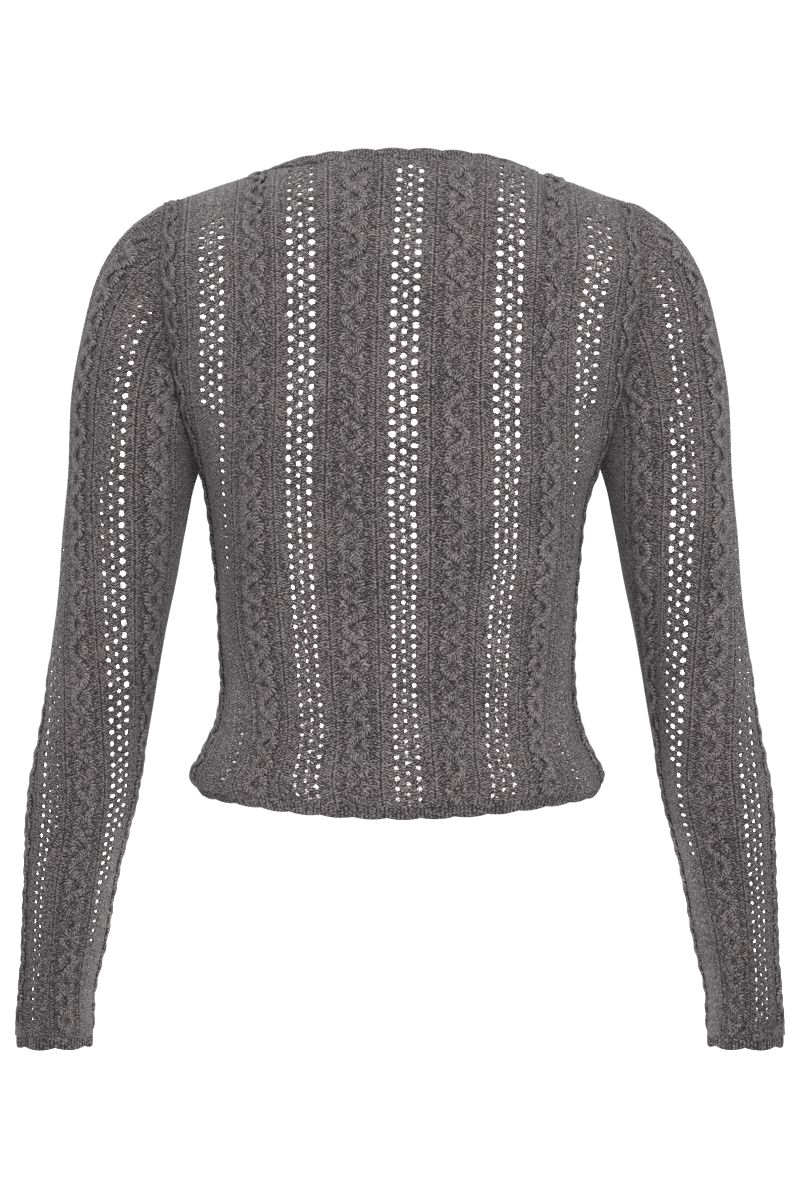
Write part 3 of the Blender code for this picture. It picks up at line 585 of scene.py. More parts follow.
def makeMesh(name, points, faces, uv=None, smooth=True):
    mesh = bpy.data.meshes.new(name)
    mesh.from_pydata([tuple(p) for p in points], [], faces)
    if uv is not None:
        layer = mesh.uv_layers.new(name="UVMap")
        corners = np.zeros(len(mesh.loops), int)
        mesh.loops.foreach_get("vertex_index", corners)
        layer.data.foreach_set("uv", np.asarray(uv, float)[corners].ravel())
    if smooth:
        mesh.polygons.foreach_set("use_smooth", [True] * len(mesh.polygons))
    mesh.validate()
    piece = bpy.data.objects.new(name, mesh)
    bpy.context.scene.collection.objects.link(piece)
    return piece


def outwards(piece):
    # turns a closed shell's faces out when its signed volume is negative
    mesh = piece.data
    mesh.calc_loop_triangles()
    corners = np.zeros(len(mesh.vertices) * 3)
    mesh.vertices.foreach_get("co", corners)
    corners = corners.reshape(-1, 3)
    tri = np.zeros(len(mesh.loop_triangles) * 3, int)
    mesh.loop_triangles.foreach_get("vertices", tri)
    a, b, c = (corners[tri.reshape(-1, 3)[:, k]] for k in range(3))
    if np.sum(a * np.cross(b, c)) < 0:
        mesh.flip_normals()
    return piece


def tubeFaces(count, cols, base=0, closed=False, ends=True):
    # faces between the rings of a tube, and its two ends
    faces = []
    for i in range(count if closed else count - 1):
        near, far = base + i * cols, base + (i + 1) % count * cols
        faces += [(near + j, far + j, far + (j + 1) % cols, near + (j + 1) % cols) for j in range(cols)]
    if ends and not closed:
        last = base + (count - 1) * cols
        faces += [tuple(range(base, base + cols)), tuple(reversed(range(last, last + cols)))]
    return faces


def gridUv(across, along, shape):
    return np.stack([np.broadcast_to(across, shape), np.broadcast_to(along, shape)], -1).reshape(-1, 2)


def addTube(name, grid, across, along, closed=False, mirror=False):
    # a shell from rings of points in millimetres, with the flat place of each as its UV
    shape = grid.shape[:2]
    points = grid.reshape(-1, 3) * mm * (-1 if mirror else 1, 1, 1)
    uv = gridUv(across, along, shape) * mm
    pieces[name] = outwards(makeMesh(name, points, tubeFaces(*shape, closed=closed), uv))


def lengthAlong(points):
    return np.concatenate([[0], np.cumsum(np.linalg.norm(np.diff(points, axis=0), axis=1))])


torsoRows = eyeletRows(knit["firstRow"], knit["rowPitch"], knit["lastRow"])
sleeveRows = eyeletRows(knit["sleeveFirstRow"], knit["sleevePitch"], knit["sleeveLastRow"])


# sizes of the eyelets along each line, as shares of the full size; 0 is closed
eyelets = {
    "middle": (
        (-440, 0.76), (-391, 0.69), (-350, 0.67), (-309, 0.72), (-268, 0.80), (-226, 0.89), (-186, 0.97),
        (-62, 0.99), (-30, 0.95), (10, 0.9), (40, 0.85),
    ),
    "sideInner": (
        (-440, 0.46), (-400, 0.48), (-388, 0.40), (-384, 0), (-290, 0), (-284, 0.46), (-235, 0.54),
        (-190, 0.64), (-170, 0.82), (-62, 0.86), (-36, 0.75), (-30, 0),
    ),
    "sideOuter": ((-176, 0), (-172, 0.56), (-150, 0.66), (-62, 0.7), (-40, 0.6), (-34, 0)),
    "taller": ((-60, 1.0), (-30, 1.12), (-10, 1.4), (10, 1.55), (30, 1.55)),
    "besideNeck": ((-45, 1), (-10, 0.78)),
}


def sizeAt(line, course):
    at, size = np.array(line, float).T
    return float(np.interp(course, at, size))


def widened(wide, cloth, m, course, way):
    # wider where the cloth turns away, so that an eyelet stays open to the eye
    least, pull = knit["turned"][way]
    facing = max(least, abs(float(cloth.out(m, course)[1])))
    return min(knit["widest"], (wide + pull * knit["thickness"] * math.sqrt(1 - facing**2)) / facing)


def torsoHole(m, course, k):
    column = round(m / knit["repeat"])
    if abs(column) == 2:
        size = sizeAt(eyelets["sideInner" if k * column < 0 else "sideOuter"], course)
    else:
        size = sizeAt(eyelets["middle"], course) * (knit["middleSize"] if k == 0 else 1.0)
        if column:
            size *= sizeAt(eyelets["besideNeck"], course)
    wide = knit["eyeletWide"] * size
    if abs(column) == 2 and size > knit["least"]:
        wide = widened(wide, cloths["back"], m, course, "torso")
    return wide, knit["eyeletHigh"] * size * sizeAt(eyelets["taller"], course)


def torsoNet(side, start, end, top):
    net = Net(top)
    rng = np.random.default_rng(knit["seed"])
    low = torso["hem"] + 0.1
    courses = np.concatenate([[low], quarterRows(torsoRows)])
    middles = [k * knit["repeat"] for k in range(-2, 3) if start + columnHalf < k * knit["repeat"] < end - columnHalf]
    edges = [start] + [m + s * columnHalf for m in middles for s in (-1, 1)] + [end]
    for left, right in zip(edges[::2], edges[1::2]):
        plait = knit["repeat"] * (math.floor((left + right) / 2 / knit["repeat"]) + 0.5)
        net.grid(panelWales(plait, left, right), courses)
    for m in middles:
        eyeletColumn(net, m, torsoRows, low, 0, torsoHole, rng)
    return net


def torsoRise(side, flat):
    wale, course = flat[:, 0], flat[:, 1]
    fromTop = patterns[side].top(wale) - course
    shoulder = np.where(abs(wale) > torso["neckWale"], np.clip(1 - fromTop / seam["shoulder"], 0, 1), 0)
    return nearSeam(relief(wale, torsoPlaits), sides[side] - abs(wale), course) - seam["shoulderSink"] * shoulder**2


def frontNeck(wale):
    share = np.minimum(1.0, abs(wale) / torso["neckWale"])
    drop = (1 - share ** torso["frontCurve"][0]) ** torso["frontCurve"][1]
    return cloths["front"].top(torso["neckWale"]) - torso["frontDrop"] * drop


def frontTop(wale):
    return frontNeck(wale) if abs(wale) < torso["neckWale"] else cloths["front"].top(wale)


def addPanel(name, side, start, end, top):
    net = torsoNet(side, start, end, top)
    pieces[name] = wallMesh(name, net, patterns[side], torsoRise(side, np.array(net.flat)))
    print(name, len(net.flat), "points", len(net.faces), "faces")


underBand, upperBand = (-9.0, 7.0), (-7.0, 12.0)
addPanel("clothBack", "back", -sides["back"], sides["back"], patterns["back"].top)
addPanel("clothFrontRight", "front", underBand[1] - 0.6, sides["front"], frontTop)
addPanel("clothFrontLeft", "front", -sides["front"], underBand[0] + 0.6, frontTop)


sleeveEyelets = {
    "Left": {
        (1, 1): (
            (-470, 0), (-459, 0.6), (-416, 0.63), (-393, 0.74), (-343, 0.86), (-242, 0.84), (-193, 0.77),
            (-146, 0.76), (-122, 0.6), (-100, 0.45),
        ),
        (1, 0): (
            (-500, 0), (-496, 0.5), (-479, 0.55), (-459, 0.68), (-339, 0.68), (-287, 0.6), (-213, 0.52),
            (-142, 0.52), (-118, 0.46), (-100, 0.4),
        ),
        (1, -1): (
            (-545, 0), (-538, 0.48), (-516, 0.6), (-479, 0.62), (-438, 0.74), (-400, 0.78), (-369, 0.72),
            (-292, 0.62), (-266, 0.5), (-217, 0.45), (-210, 0),
        ),
        (0, 1): ((-560, 0), (-460, 0.3), (-120, 0.5), (-70, 0.4)),
        (0, 0): ((-575, 0), (-566, 0.5), (-455, 0.55), (-430, 0.3), (-120, 0.5), (-70, 0.4)),
    },
    "Right": {
        (1, 1): (
            (-400, 0), (-393, 0.6), (-369, 0.52), (-317, 0.55), (-292, 0.74), (-266, 0.92), (-217, 0.8),
            (-193, 0.72), (-175, 0.6), (-169, 0),
        ),
        (1, 0): (
            (-425, 0), (-412, 0.7), (-389, 0.7), (-364, 0.58), (-287, 0.7), (-238, 0.74), (-189, 0.62),
            (-142, 0.63), (-118, 0.7), (-72, 0.6),
        ),
        (1, -1): (
            (-485, 0), (-479, 0.48), (-459, 0.52), (-416, 0.7), (-380, 0.76), (-343, 0.86), (-300, 0.8),
            (-242, 0.7), (-217, 0.54), (-146, 0.5), (-76, 0.55),
        ),
        (0, 1): (
            (-602, 0.55), (-581, 0.63), (-499, 0.6), (-459, 0.68), (-416, 0.64), (-393, 0.5), (-380, 0.32),
            (-120, 0.5), (-70, 0.4),
        ),
        (0, 0): (
            (-598, 0.52), (-536, 0.54), (-496, 0.5), (-476, 0.58), (-434, 0.52), (-400, 0.32), (-120, 0.5),
            (-70, 0.4),
        ),
    },
    "other": ((-600, 0.55), (-500, 0.62), (-400, 0.74), (-250, 0.78), (-90, 0.7), (-30, 0.4), (0, 0)),
}


def sleeveNet(hand):
    cloth = patterns["sleeve" + hand]
    net = Net(lambda wale: cloth.top(wale) + seam["rise"])
    rng = np.random.default_rng(knit["seed"] + 1)
    low = arm["cuff"] + 0.1
    courses = np.concatenate([[low], quarterRows(sleeveRows)])
    repeat = knit["sleeveRepeat"]
    middles = [k * repeat for k in range(-2, 3)]
    edges = [-arm["girth"] / 2] + [m + s * columnHalf for m in middles for s in (-1, 1)] + [arm["girth"] / 2]

    def hole(m, course, k):
        if m > 1.5 * repeat:
            return 0, 0
        size = sizeAt(sleeveEyelets[hand].get((round(m / repeat), k), sleeveEyelets["other"]), course)
        if size < knit["least"]:
            return 0, 0
        wide = widened(knit["eyeletWide"] * size, cloth, m, course, "sleeve")
        return wide, knit["eyeletHigh"] * size * knit["sleeveHigh"]

    for n, (left, right) in enumerate(zip(edges[::2], edges[1::2])):
        under = n in (0, len(edges) // 2 - 1)
        net.grid(list(np.linspace(left, right, 3)) if under else panelWales(repeat * (n - 2.5), left, right), courses)
    for m in middles:
        eyeletColumn(net, m, sleeveRows, low, 1, hole, rng)
    return net


def sleeveRise(flat):
    wale, course = flat[:, 0], flat[:, 1]
    return nearSeam(ribs["onSleeve"] * relief(wale, sleevePlaits), cloths["sleeve"].top(wale) - course, course)


for hand in ("Right", "Left"):
    net, name = sleeveNet(hand), "clothSleeve" + hand
    pieces[name] = wallMesh(name, net, patterns["sleeve" + hand], sleeveRise(np.array(net.flat)), mirror=hand == "Left")
    print("sleeve", hand, len(net.flat), "points", len(net.faces), "faces")


# Plaits: one strand winds from side to side over its fellow, once in four rows of eyelets

plait = {
    "swing": 6.2,
    "halfWidth": 4.3,
    "rise": 2.2,
    "lift": 0.8,
    "base": -0.9,
    "sink": 0.5,
    "step": 1.7,
    "sides": 7,
    "round": 1.4,
    "start": 3.3,
    "square": 0.9,
    "endFade": 9.0,
    "fadePower": 0.7,
    "besideOther": 50,
}


def plaitStrand(cloth, wale, rows, low, high, phase):
    p = plait
    course = np.linspace(low, high, max(4, int((high - low) / p["step"])))
    number = np.interp(course, rows, np.arange(len(rows)))
    number = np.where(course < rows[0], (course - rows[0]) / (rows[1] - rows[0]), number)
    turn = 2 * np.pi * number / knit["plaitRows"] + p["start"] + phase
    offset = p["swing"] * np.tanh(p["square"] * np.sin(turn)) / math.tanh(p["square"])
    slope = np.gradient(offset, course)
    norm = np.sqrt(1 + slope**2)
    around = np.linspace(0, np.pi, p["sides"])
    u = p["halfWidth"] * np.cos(around)
    fade = np.clip(np.minimum(course - low, high - course) / p["endFade"], 0, 1) ** p["fadePower"]
    tall = (p["rise"] * fade)[:, None] * np.sin(around) ** p["round"]
    crossing = np.cos(turn) ** 2 * (1 if phase == 0 else -1)
    height = tall + (p["base"] + p["sink"] * fade + p["lift"] * crossing * fade)[:, None]
    wales = wale + offset[:, None] + u[None, :] / norm[:, None]
    courses = course[:, None] - u[None, :] * (slope / norm)[:, None]
    wave = drape(cloth.spot(wales, courses))
    points = cloth.place(wales, courses, knit["thickness"] / 2 + height + wave)
    length = lengthAlong(points[:, len(u) // 2]) + phase * p["besideOther"]
    return points, gridUv(u[None, :], length[:, None], height.shape)


def addPlaits(name, cloth, wales, rows, low, topOf, mirror=False):
    points, uvs, faces = [], [], []
    for wale in wales:
        for phase in (0, math.pi):
            grid, uv = plaitStrand(cloth, wale, rows, low + 1.0, float(topOf(wale)) - 1.5, phase)
            faces += tubeFaces(*grid.shape[:2], base=sum(len(p) for p in points))
            points.append(grid.reshape(-1, 3))
            uvs.append(uv)
    if mirror:
        faces = [tuple(reversed(f)) for f in faces]
    points = np.concatenate(points) * mm * (-1 if mirror else 1, 1, 1)
    pieces[name] = makeMesh(name, points, faces, np.concatenate(uvs) * mm)


addPlaits("plaitsBack", patterns["back"], torsoPlaits, torsoRows, torso["hem"], patterns["back"].top)
addPlaits("plaitsFrontRight", cloths["front"], torsoPlaits[3:], torsoRows, torso["hem"], frontTop)
addPlaits("plaitsFrontLeft", cloths["front"], torsoPlaits[2::-1], torsoRows, torso["hem"], frontTop)
for hand in ("Right", "Left"):
    cloth = patterns["sleeve" + hand]
    addPlaits("plaitsSleeve" + hand, cloth, sleevePlaits, sleeveRows, arm["cuff"], cloth.top, hand == "Left")
print("plaits ready")


# Trims: narrow ribs with a scalloped free edge

trim = {
    "thickness": 2.0,
    "neck": 8.5,
    "hem": 7.5,
    "cuff": 6.5,
    "pitch": {"neck": 2.1, "hem": 2.7, "cuff": 2.4},
    "scallop": {"neck": 2.1, "hem": 1.3, "cuff": 2.1},
    "scallopPitch": 23.0,
    "scallopPower": 0.8,
    "ribDepth": 0.28,
    "tuck": 0.35,
    "smooth": 9,
    "front": ((-0.12, 0.8), (0.06, 1), (0.25, 1), (0.5, 1), (0.75, 1), (0.92, 0.85), (1.0, 0.35)),
    "inside": ((1.0, -0.35), (0.92, -0.85), (0.5, -1), (-0.12, -0.8)),
}


def smoothLine(values, reach):
    kernel = np.hanning(2 * reach + 3)[1:-1]
    kernel /= kernel.sum()
    padded = np.concatenate([np.repeat(values[:1], reach, 0), values, np.repeat(values[-1:], reach, 0)])
    return np.stack([np.convolve(padded[:, k], kernel, "valid") for k in range(3)], -1)


def evenLine(points, others, step):
    length = lengthAlong(points)
    along = np.linspace(0, length[-1], int(length[-1] / step) + 1)
    even = [np.stack([np.interp(along, length, line[:, k]) for k in range(3)], -1) for line in (points, *others)]
    return even, along


def addTrim(name, kind, edge, outs, ways, mirror=False):
    width, ribPitch, closed = trim[kind], trim["pitch"][kind], kind == "cuff"
    (edge, outs, ways), along = evenLine(edge, (outs, ways), ribPitch / 4)
    pitch = trim["scallopPitch"]
    if closed:
        edge, outs, ways, along = edge[:-1], outs[:-1], ways[:-1], along[:-1]
        pitch = along[-1] / max(2, round(along[-1] / pitch))
    else:
        outs, ways = unit(smoothLine(outs, trim["smooth"])), unit(smoothLine(ways, trim["smooth"]))
    scallop = trim["scallop"][kind] * np.abs(np.sin(np.pi * along / pitch)) ** trim["scallopPower"]
    reach = width - trim["tuck"] + scallop
    rib = trim["ribDepth"] * np.cos(2 * np.pi * along / ribPitch)
    profile = trim["front"] + trim["inside"]
    sections = []
    for t, side in profile:
        onRib = rib * max(0, min(1, t * 8)) if side > 0 else 0 * rib
        sunk = trim["tuck"] if t < 0 and side > 0 else 0
        rise = trim["thickness"] / 2 * side + onRib - sunk
        sections.append(edge + ways * (t * reach)[:, None] + outs * rise[:, None])
    addTube(name, np.stack(sections, 1), along[:, None], np.array([t for t, _ in profile]) * width, closed, mirror)


def edgeOf(cloth, wales, courses):
    return cloth.spot(wales, courses), cloth.out(wales, courses - 1.0)


def neckEdge():
    neck = torso["neckWale"]
    right = np.linspace(underBand[1] + 0.2, neck - 0.01, 120)
    back = np.linspace(neck, -neck, 200)
    left = np.linspace(-neck + 0.01, underBand[0] - 0.2, 120)
    lines = []
    for wales in (right, left):
        courses = np.array([frontNeck(w) for w in wales])
        lines.append(edgeOf(cloths["front"], wales, courses))
    courses = cloths["back"].top(back)
    lines.insert(1, edgeOf(cloths["back"], back, courses))
    edge = np.concatenate([line[0] for line in lines])
    outs = np.concatenate([line[1] for line in lines])
    (edge, outs), _ = evenLine(edge, (outs,), 1.0)
    ways = unit(np.cross(outs, np.gradient(edge, axis=0)))
    toward = np.sum(ways * (np.array([0, 0, 30.0]) - edge), axis=1)
    ways *= np.where(toward > 0, 1, -1)[:, None]
    for end, w in ((0, right[0]), (-1, left[-1])):
        up = cloths["front"].spot(np.array(w), frontNeck(w) + 2) - cloths["front"].spot(np.array(w), frontNeck(w) - 2)
        ways[end] = unit(up)
    return edge, outs, ways


edge, outs, ways = neckEdge()
addTrim("neckTrim", "neck", edge, outs, ways)
for name, side, start, end in (
    ("hemTrimBack", "back", -sides["back"], sides["back"]),
    ("hemTrimRight", "front", underBand[1], sides["front"]),
    ("hemTrimLeft", "front", -sides["front"], underBand[0]),
):
    wales = np.linspace(start + 0.15, end - 0.15, 200)
    cloth = cloths[side]
    low = np.full(200, torso["hem"])
    ways = unit(cloth.spot(wales, low - 5) - cloth.spot(wales, low))
    addTrim(name, "hem", cloth.spot(wales, low), cloth.out(wales, low + 2), ways)
wales = np.linspace(-150, 150, 301)
low = np.full(301, arm["cuff"])
edge, outs = cloths["sleeve"].spot(wales, low), cloths["sleeve"].out(wales, low + 1.5)
ways = np.tile([0, 0, -1.0], (301, 1))
for hand in ("Right", "Left"):
    addTrim("cuffTrim" + hand, "cuff", edge, outs, ways, hand == "Left")
print("trims ready")


# Front bands

bands = {
    "thickness": 2.0,
    "rib": 2.1,
    "ribDepth": 0.25,
    "step": 3.0,
    "over": 2.5,
    "bevel": 0.4,
    "side": 0.05,
    "short": 0.3,
}


def addBand(name, wales, over):
    low, high = torso["hem"] - trim["hem"] + bands["short"], float(frontNeck(0.0)) + trim["neck"] - bands["short"]
    courses = np.linspace(low, high, int((high - low) / bands["step"]) + 1)
    start, end, bevel, side = *wales, bands["bevel"], bands["side"]
    across = np.linspace(start + bevel, end - bevel, int((end - start) / (bands["rib"] / 4)) + 1)
    rib = bands["ribDepth"] * np.cos(2 * np.pi * (across - across[0]) / bands["rib"])
    ring = [(start + side, bevel), *[(w, 1) for w in across], (end - side, bevel)]
    ring += [(end - side, -bevel), (end - bevel, -1), (start + bevel, -1), (start + side, -bevel)]
    sections = []
    for i, (wale, face) in enumerate(ring):
        lift = rib[i - 1] - bands["ribDepth"] if face == 1 else 0
        rise = np.full(len(courses), over + bands["thickness"] / 2 * face + lift)
        sections.append(cloths["front"].place(np.full(len(courses), wale), courses, rise))
    addTube(name, np.stack(sections, 1), np.array([wale for wale, _ in ring]), courses[:, None])


addBand("bandUnder", underBand, 0)
addBand("bandOver", upperBand, bands["over"])


# Buttons

button = {
    "radius": 5.5,
    "count": 7,
    "corners": 48,
    "margin": 15.0,
    "gap": 1.55,
    "rim": ((0.9, 0), (0.1, 0.6), (0, 1.2), (0.25, 2.0), (0.9, 2.6), (1.6, 2.45), (2.1, 1.9)),
    "dish": (3.0, 2.7, 2.5, 2.3, 2.1, 1.9, 1.7, 1.5, 1.3, 1.1, 0.9, 0.6, 0),
    "dishHeight": 1.85,
    "holeOff": 1.2,
    "hole": 0.7,
    "holeSlope": 0.2,
    "holeDeep": 1.2,
    "threadEnds": (-1.3, 1.3),
    "threadHeight": 1.98,
}
threads = []


def addButtons():
    cloth, wale = cloths["front"], sum(upperBand) / 2
    low = torso["hem"] - trim["hem"] + button["margin"]
    high = float(frontNeck(0.0)) + trim["neck"] - button["margin"]
    radius, count, off = button["radius"], button["corners"], button["holeOff"]
    profile = [(0, 0), *[(radius - inward, height) for inward, height in button["rim"]]]
    dishStart = len(profile)
    profile += [(r, button["dishHeight"]) for r in button["dish"]]
    for number, at in enumerate(np.linspace(high, low, button["count"]), 1):
        out = cloth.out(np.array(wale), np.array(at))
        base = cloth.spot(np.array(wale), np.array(at)) + out * (bands["over"] + button["gap"])
        side = unit(np.cross(out, [0, 0, 1.0]))
        up = np.cross(side, out)
        points = []
        for ring, (r, height) in enumerate(profile):
            for k in range(count):
                angle = 2 * math.pi * k / count
                x, z = max(r, 0.02) * math.cos(angle), max(r, 0.02) * math.sin(angle)
                inside = (button["hole"] - math.hypot(abs(x) - off, abs(z) - off)) / button["holeSlope"]
                pit = min(1, max(0, inside)) * button["holeDeep"] if ring >= dishStart else 0
                points.append(base + out * (height - pit) + x * side + z * up)
        for x in (-off, off):
            arch = [(z, button["threadHeight"] - 0.5 * (z / 1.4) ** 4) for z in np.linspace(*button["threadEnds"], 9)]
            threads.append([base + out * height + x * side + z * up for z, height in arch])
        name = f"button{number}"
        pieces[name] = outwards(makeMesh(name, np.array(points) * mm, tubeFaces(len(profile), count, ends=False)))


addButtons()
print("bands and buttons ready")


# Seams: rows of small stitches that follow the joins, made by Geometry Nodes

stitch = {
    "seam": (2.3, 3.0, 1.5),
    "buttonhole": (1.1, 1.3, 0.8),
    "thread": (0.8, 1.2, 0.75),
    "uneven": (0.85, 1.15),
    "rise": 0.2,
    "seed": 11,
    "segments": 6,
    "rings": 4,
    "holeWide": 7.6,
    "holeTall": 1.4,
}


def stitchTree(finish):
    tree = bpy.data.node_groups.new("stitchesAlongPath", "GeometryNodeTree")
    side = tree.interface
    side.new_socket("Path", in_out="INPUT", socket_type="NodeSocketGeometry")
    for name in ("Pitch", "Length", "Width"):
        side.new_socket(name, in_out="INPUT", socket_type="NodeSocketFloat")
    side.new_socket("Seed", in_out="INPUT", socket_type="NodeSocketInt")
    side.new_socket("Stitches", in_out="OUTPUT", socket_type="NodeSocketGeometry")

    def add(kind, settings=None, values=None):
        node = tree.nodes.new(kind)
        for key, value in (settings or {}).items():
            setattr(node, key, value)
        for key, value in (values or {}).items():
            if hasattr(value, "is_output"):
                tree.links.new(value, node.inputs[key])
            else:
                node.inputs[key].default_value = value
        return node

    given = add("NodeGroupInput").outputs
    path = add("GeometryNodeMeshToCurve", None, {0: given["Path"]}).outputs[0]
    along = {"Curve": path, "Length": given["Pitch"]}
    even = add("GeometryNodeResampleCurve", {"mode": "LENGTH"}, along).outputs[0]
    tangent = add("GeometryNodeInputTangent").outputs[0]
    turn = add("FunctionNodeAlignRotationToVector", {"axis": "X"}, {"Vector": tangent}).outputs[0]
    shares = {2: stitch["uneven"][0], 3: stitch["uneven"][1], "Seed": given["Seed"]}
    uneven = add("FunctionNodeRandomValue", {"data_type": "FLOAT"}, shares).outputs[1]
    length = add("ShaderNodeMath", {"operation": "MULTIPLY"}, {0: given["Length"], 1: uneven}).outputs[0]
    size = add("ShaderNodeCombineXYZ", None, {0: length, 1: given["Width"], 2: given["Width"]}).outputs[0]
    ball = {"Segments": stitch["segments"], "Rings": stitch["rings"], "Radius": 0.5}
    bead = add("GeometryNodeMeshUVSphere", None, ball).outputs[0]
    smooth = add("GeometryNodeSetShadeSmooth", None, {0: bead}).outputs[0]
    row = {"Points": even, "Instance": smooth, "Rotation": turn, "Scale": size}
    rows = add("GeometryNodeInstanceOnPoints", None, row).outputs[0]
    real = add("GeometryNodeRealizeInstances", None, {0: rows}).outputs[0]
    done = add("GeometryNodeSetMaterial", None, {0: real, "Material": finish}).outputs[0]
    add("NodeGroupOutput", None, {0: done})
    return tree


def addStitches(name, lines, size, closed=False):
    # the tree's result as an ordinary mesh, with the modifier taken off again
    source = pathObject(name + "Paths", lines, closed)
    modifier = source.modifiers.new(name, "NODES")
    modifier.node_group = tree
    values = {key: value * mm for key, value in zip(("Pitch", "Length", "Width"), stitch[size])}
    values["Seed"] = stitch["seed"]
    for item in tree.interface.items_tree:
        if item.in_out == "INPUT" and item.name in values:
            modifier[item.identifier] = values[item.name]
    evaluated = source.evaluated_get(bpy.context.evaluated_depsgraph_get())
    mesh = bpy.data.meshes.new_from_object(evaluated)
    source.modifiers.remove(modifier)
    bpy.data.objects.remove(source)
    pieces[name] = bpy.data.objects.new(name, mesh)
    bpy.context.scene.collection.objects.link(pieces[name])


def pathObject(name, lines, closed=False):
    # lines of points, in millimetres, as one object of edges
    points, edges = [], []
    for line in lines:
        start = len(points)
        points += [tuple(p) for p in np.asarray(line) * mm]
        edges += [(start + k, start + k + 1) for k in range(len(line) - 1)]
        if closed:
            edges.append((len(points) - 1, start))
    mesh = bpy.data.meshes.new(name)
    mesh.from_pydata(points, edges, [])
    thing = bpy.data.objects.new(name, mesh)
    bpy.context.scene.collection.objects.link(thing)
    return thing


def seamLines():
    back, sleeve = cloths["back"], cloths["sleeve"]
    side, rise = sides["back"], stitch["rise"]
    courses = np.arange(torso["hem"] + 3, torso["underarm"], 2.0)
    sideSeam = back.place(np.full(len(courses), side), courses, rise)
    wales = np.arange(torso["neckWale"] + 4, side, 2.0)
    shoulder = back.place(wales, back.top(wales), rise)
    wales = np.linspace(-150, 150, 260, endpoint=False)
    armhole = sleeve.place(wales, sleeve.top(wales), rise)
    courses = np.arange(arm["cuff"] + 2, sleeve.top(150.0) - 2, 2.0)
    under = sleeve.place(np.full(len(courses), 150.0), courses, rise)
    flip = np.array([-1, 1, 1])
    open_ = [line * way for line in (sideSeam, shoulder, under) for way in (1, flip)]
    return open_, [armhole, armhole * flip]


def buttonholeLines():
    cloth = cloths["front"]
    courses = np.linspace(torso["hem"] - 8, torso["yoke"] + 40, 400)
    heights = cloth.spot(np.zeros(400), courses)[:, 2]
    at = np.linspace(0, 2 * math.pi, 40, endpoint=False)
    rings = []
    for number in range(1, button["count"] + 1):
        corners = np.array([v.co for v in pieces[f"button{number}"].data.vertices]) / mm
        x, _, z = corners.mean(0)
        course = np.interp(z + stitch["holeTall"] * np.sin(at), heights, courses)
        rise = bands["over"] + bands["thickness"] / 2 + 0.05
        rings.append(cloth.place(x + stitch["holeWide"] * np.cos(at), course, rise))
    return rings


# Materials

class Socket:
    # a shader socket that adds Math nodes when it is used in an expression
    def __init__(self, tree, link):
        self.tree, self.link = tree, link

    def join(self, operation, *others):
        return self.tree.add("ShaderNodeMath", {"operation": operation}, dict(enumerate((self, *others))))

    def between(self, low, high):
        return self.join("MAXIMUM", low).join("MINIMUM", high)

    def __add__(self, other): return self.join("ADD", other)
    def __radd__(self, other): return self.join("ADD", other)
    def __sub__(self, other): return self.join("SUBTRACT", other)
    def __rsub__(self, other): return -self + other
    def __mul__(self, other): return self.join("MULTIPLY", other)
    def __rmul__(self, other): return self.join("MULTIPLY", other)
    def __truediv__(self, other): return self.join("DIVIDE", other)
    def __abs__(self): return self.join("ABSOLUTE")
    def __neg__(self): return self.join("MULTIPLY", -1)


class Finish:
    def __init__(self, name, roughness):
        self.material = bpy.data.materials.new(name)
        self.material.use_nodes = True
        self.nodes, self.links = self.material.node_tree.nodes, self.material.node_tree.links
        self.shader = self.nodes["Principled BSDF"]
        self.set({"Roughness": roughness})

    def set(self, values):
        for key, value in values.items():
            self.shader.inputs[key].default_value = value

    def add(self, kind, settings=None, values=None, out=0):
        node = self.nodes.new(kind)
        for key, value in (settings or {}).items():
            if key == "stops":
                ramp = node.color_ramp
                while len(ramp.elements) < len(value):
                    ramp.elements.new(0.5)
                for element, (at, colour) in zip(ramp.elements, value):
                    element.position, element.color = at, (*colour, 1)
            else:
                setattr(node, key, value)
        for key, value in (values or {}).items():
            self.feed(node.inputs[key], value)
        return Socket(self, node.outputs[out])

    def feed(self, socket, value):
        if isinstance(value, Socket):
            self.links.new(value.link, socket)
        else:
            socket.default_value = value

    def sine(self, x):
        # 0 to 1, once for each whole number
        return (x * (2 * math.pi)).join("SINE") * 0.5 + 0.5

    def zigzag(self, x):
        # 0 at each whole number and 1 half way between
        return 1 - abs((x + 1000).join("FRACT") - 0.5) * 2

    def bell(self, x, width):
        x = x / width
        return (-(x * x)).join("EXPONENT")

    def noise(self, place, scale, detail):
        return self.add("ShaderNodeTexNoise", None, {"Vector": place, "Scale": scale, "Detail": detail})

    def mix(self, share, first, second, settings=None):
        values = {0: share, 6: first, 7: (*second, 1)}
        return self.add("ShaderNodeMix", {"data_type": "RGBA", **(settings or {})}, values, out=2)


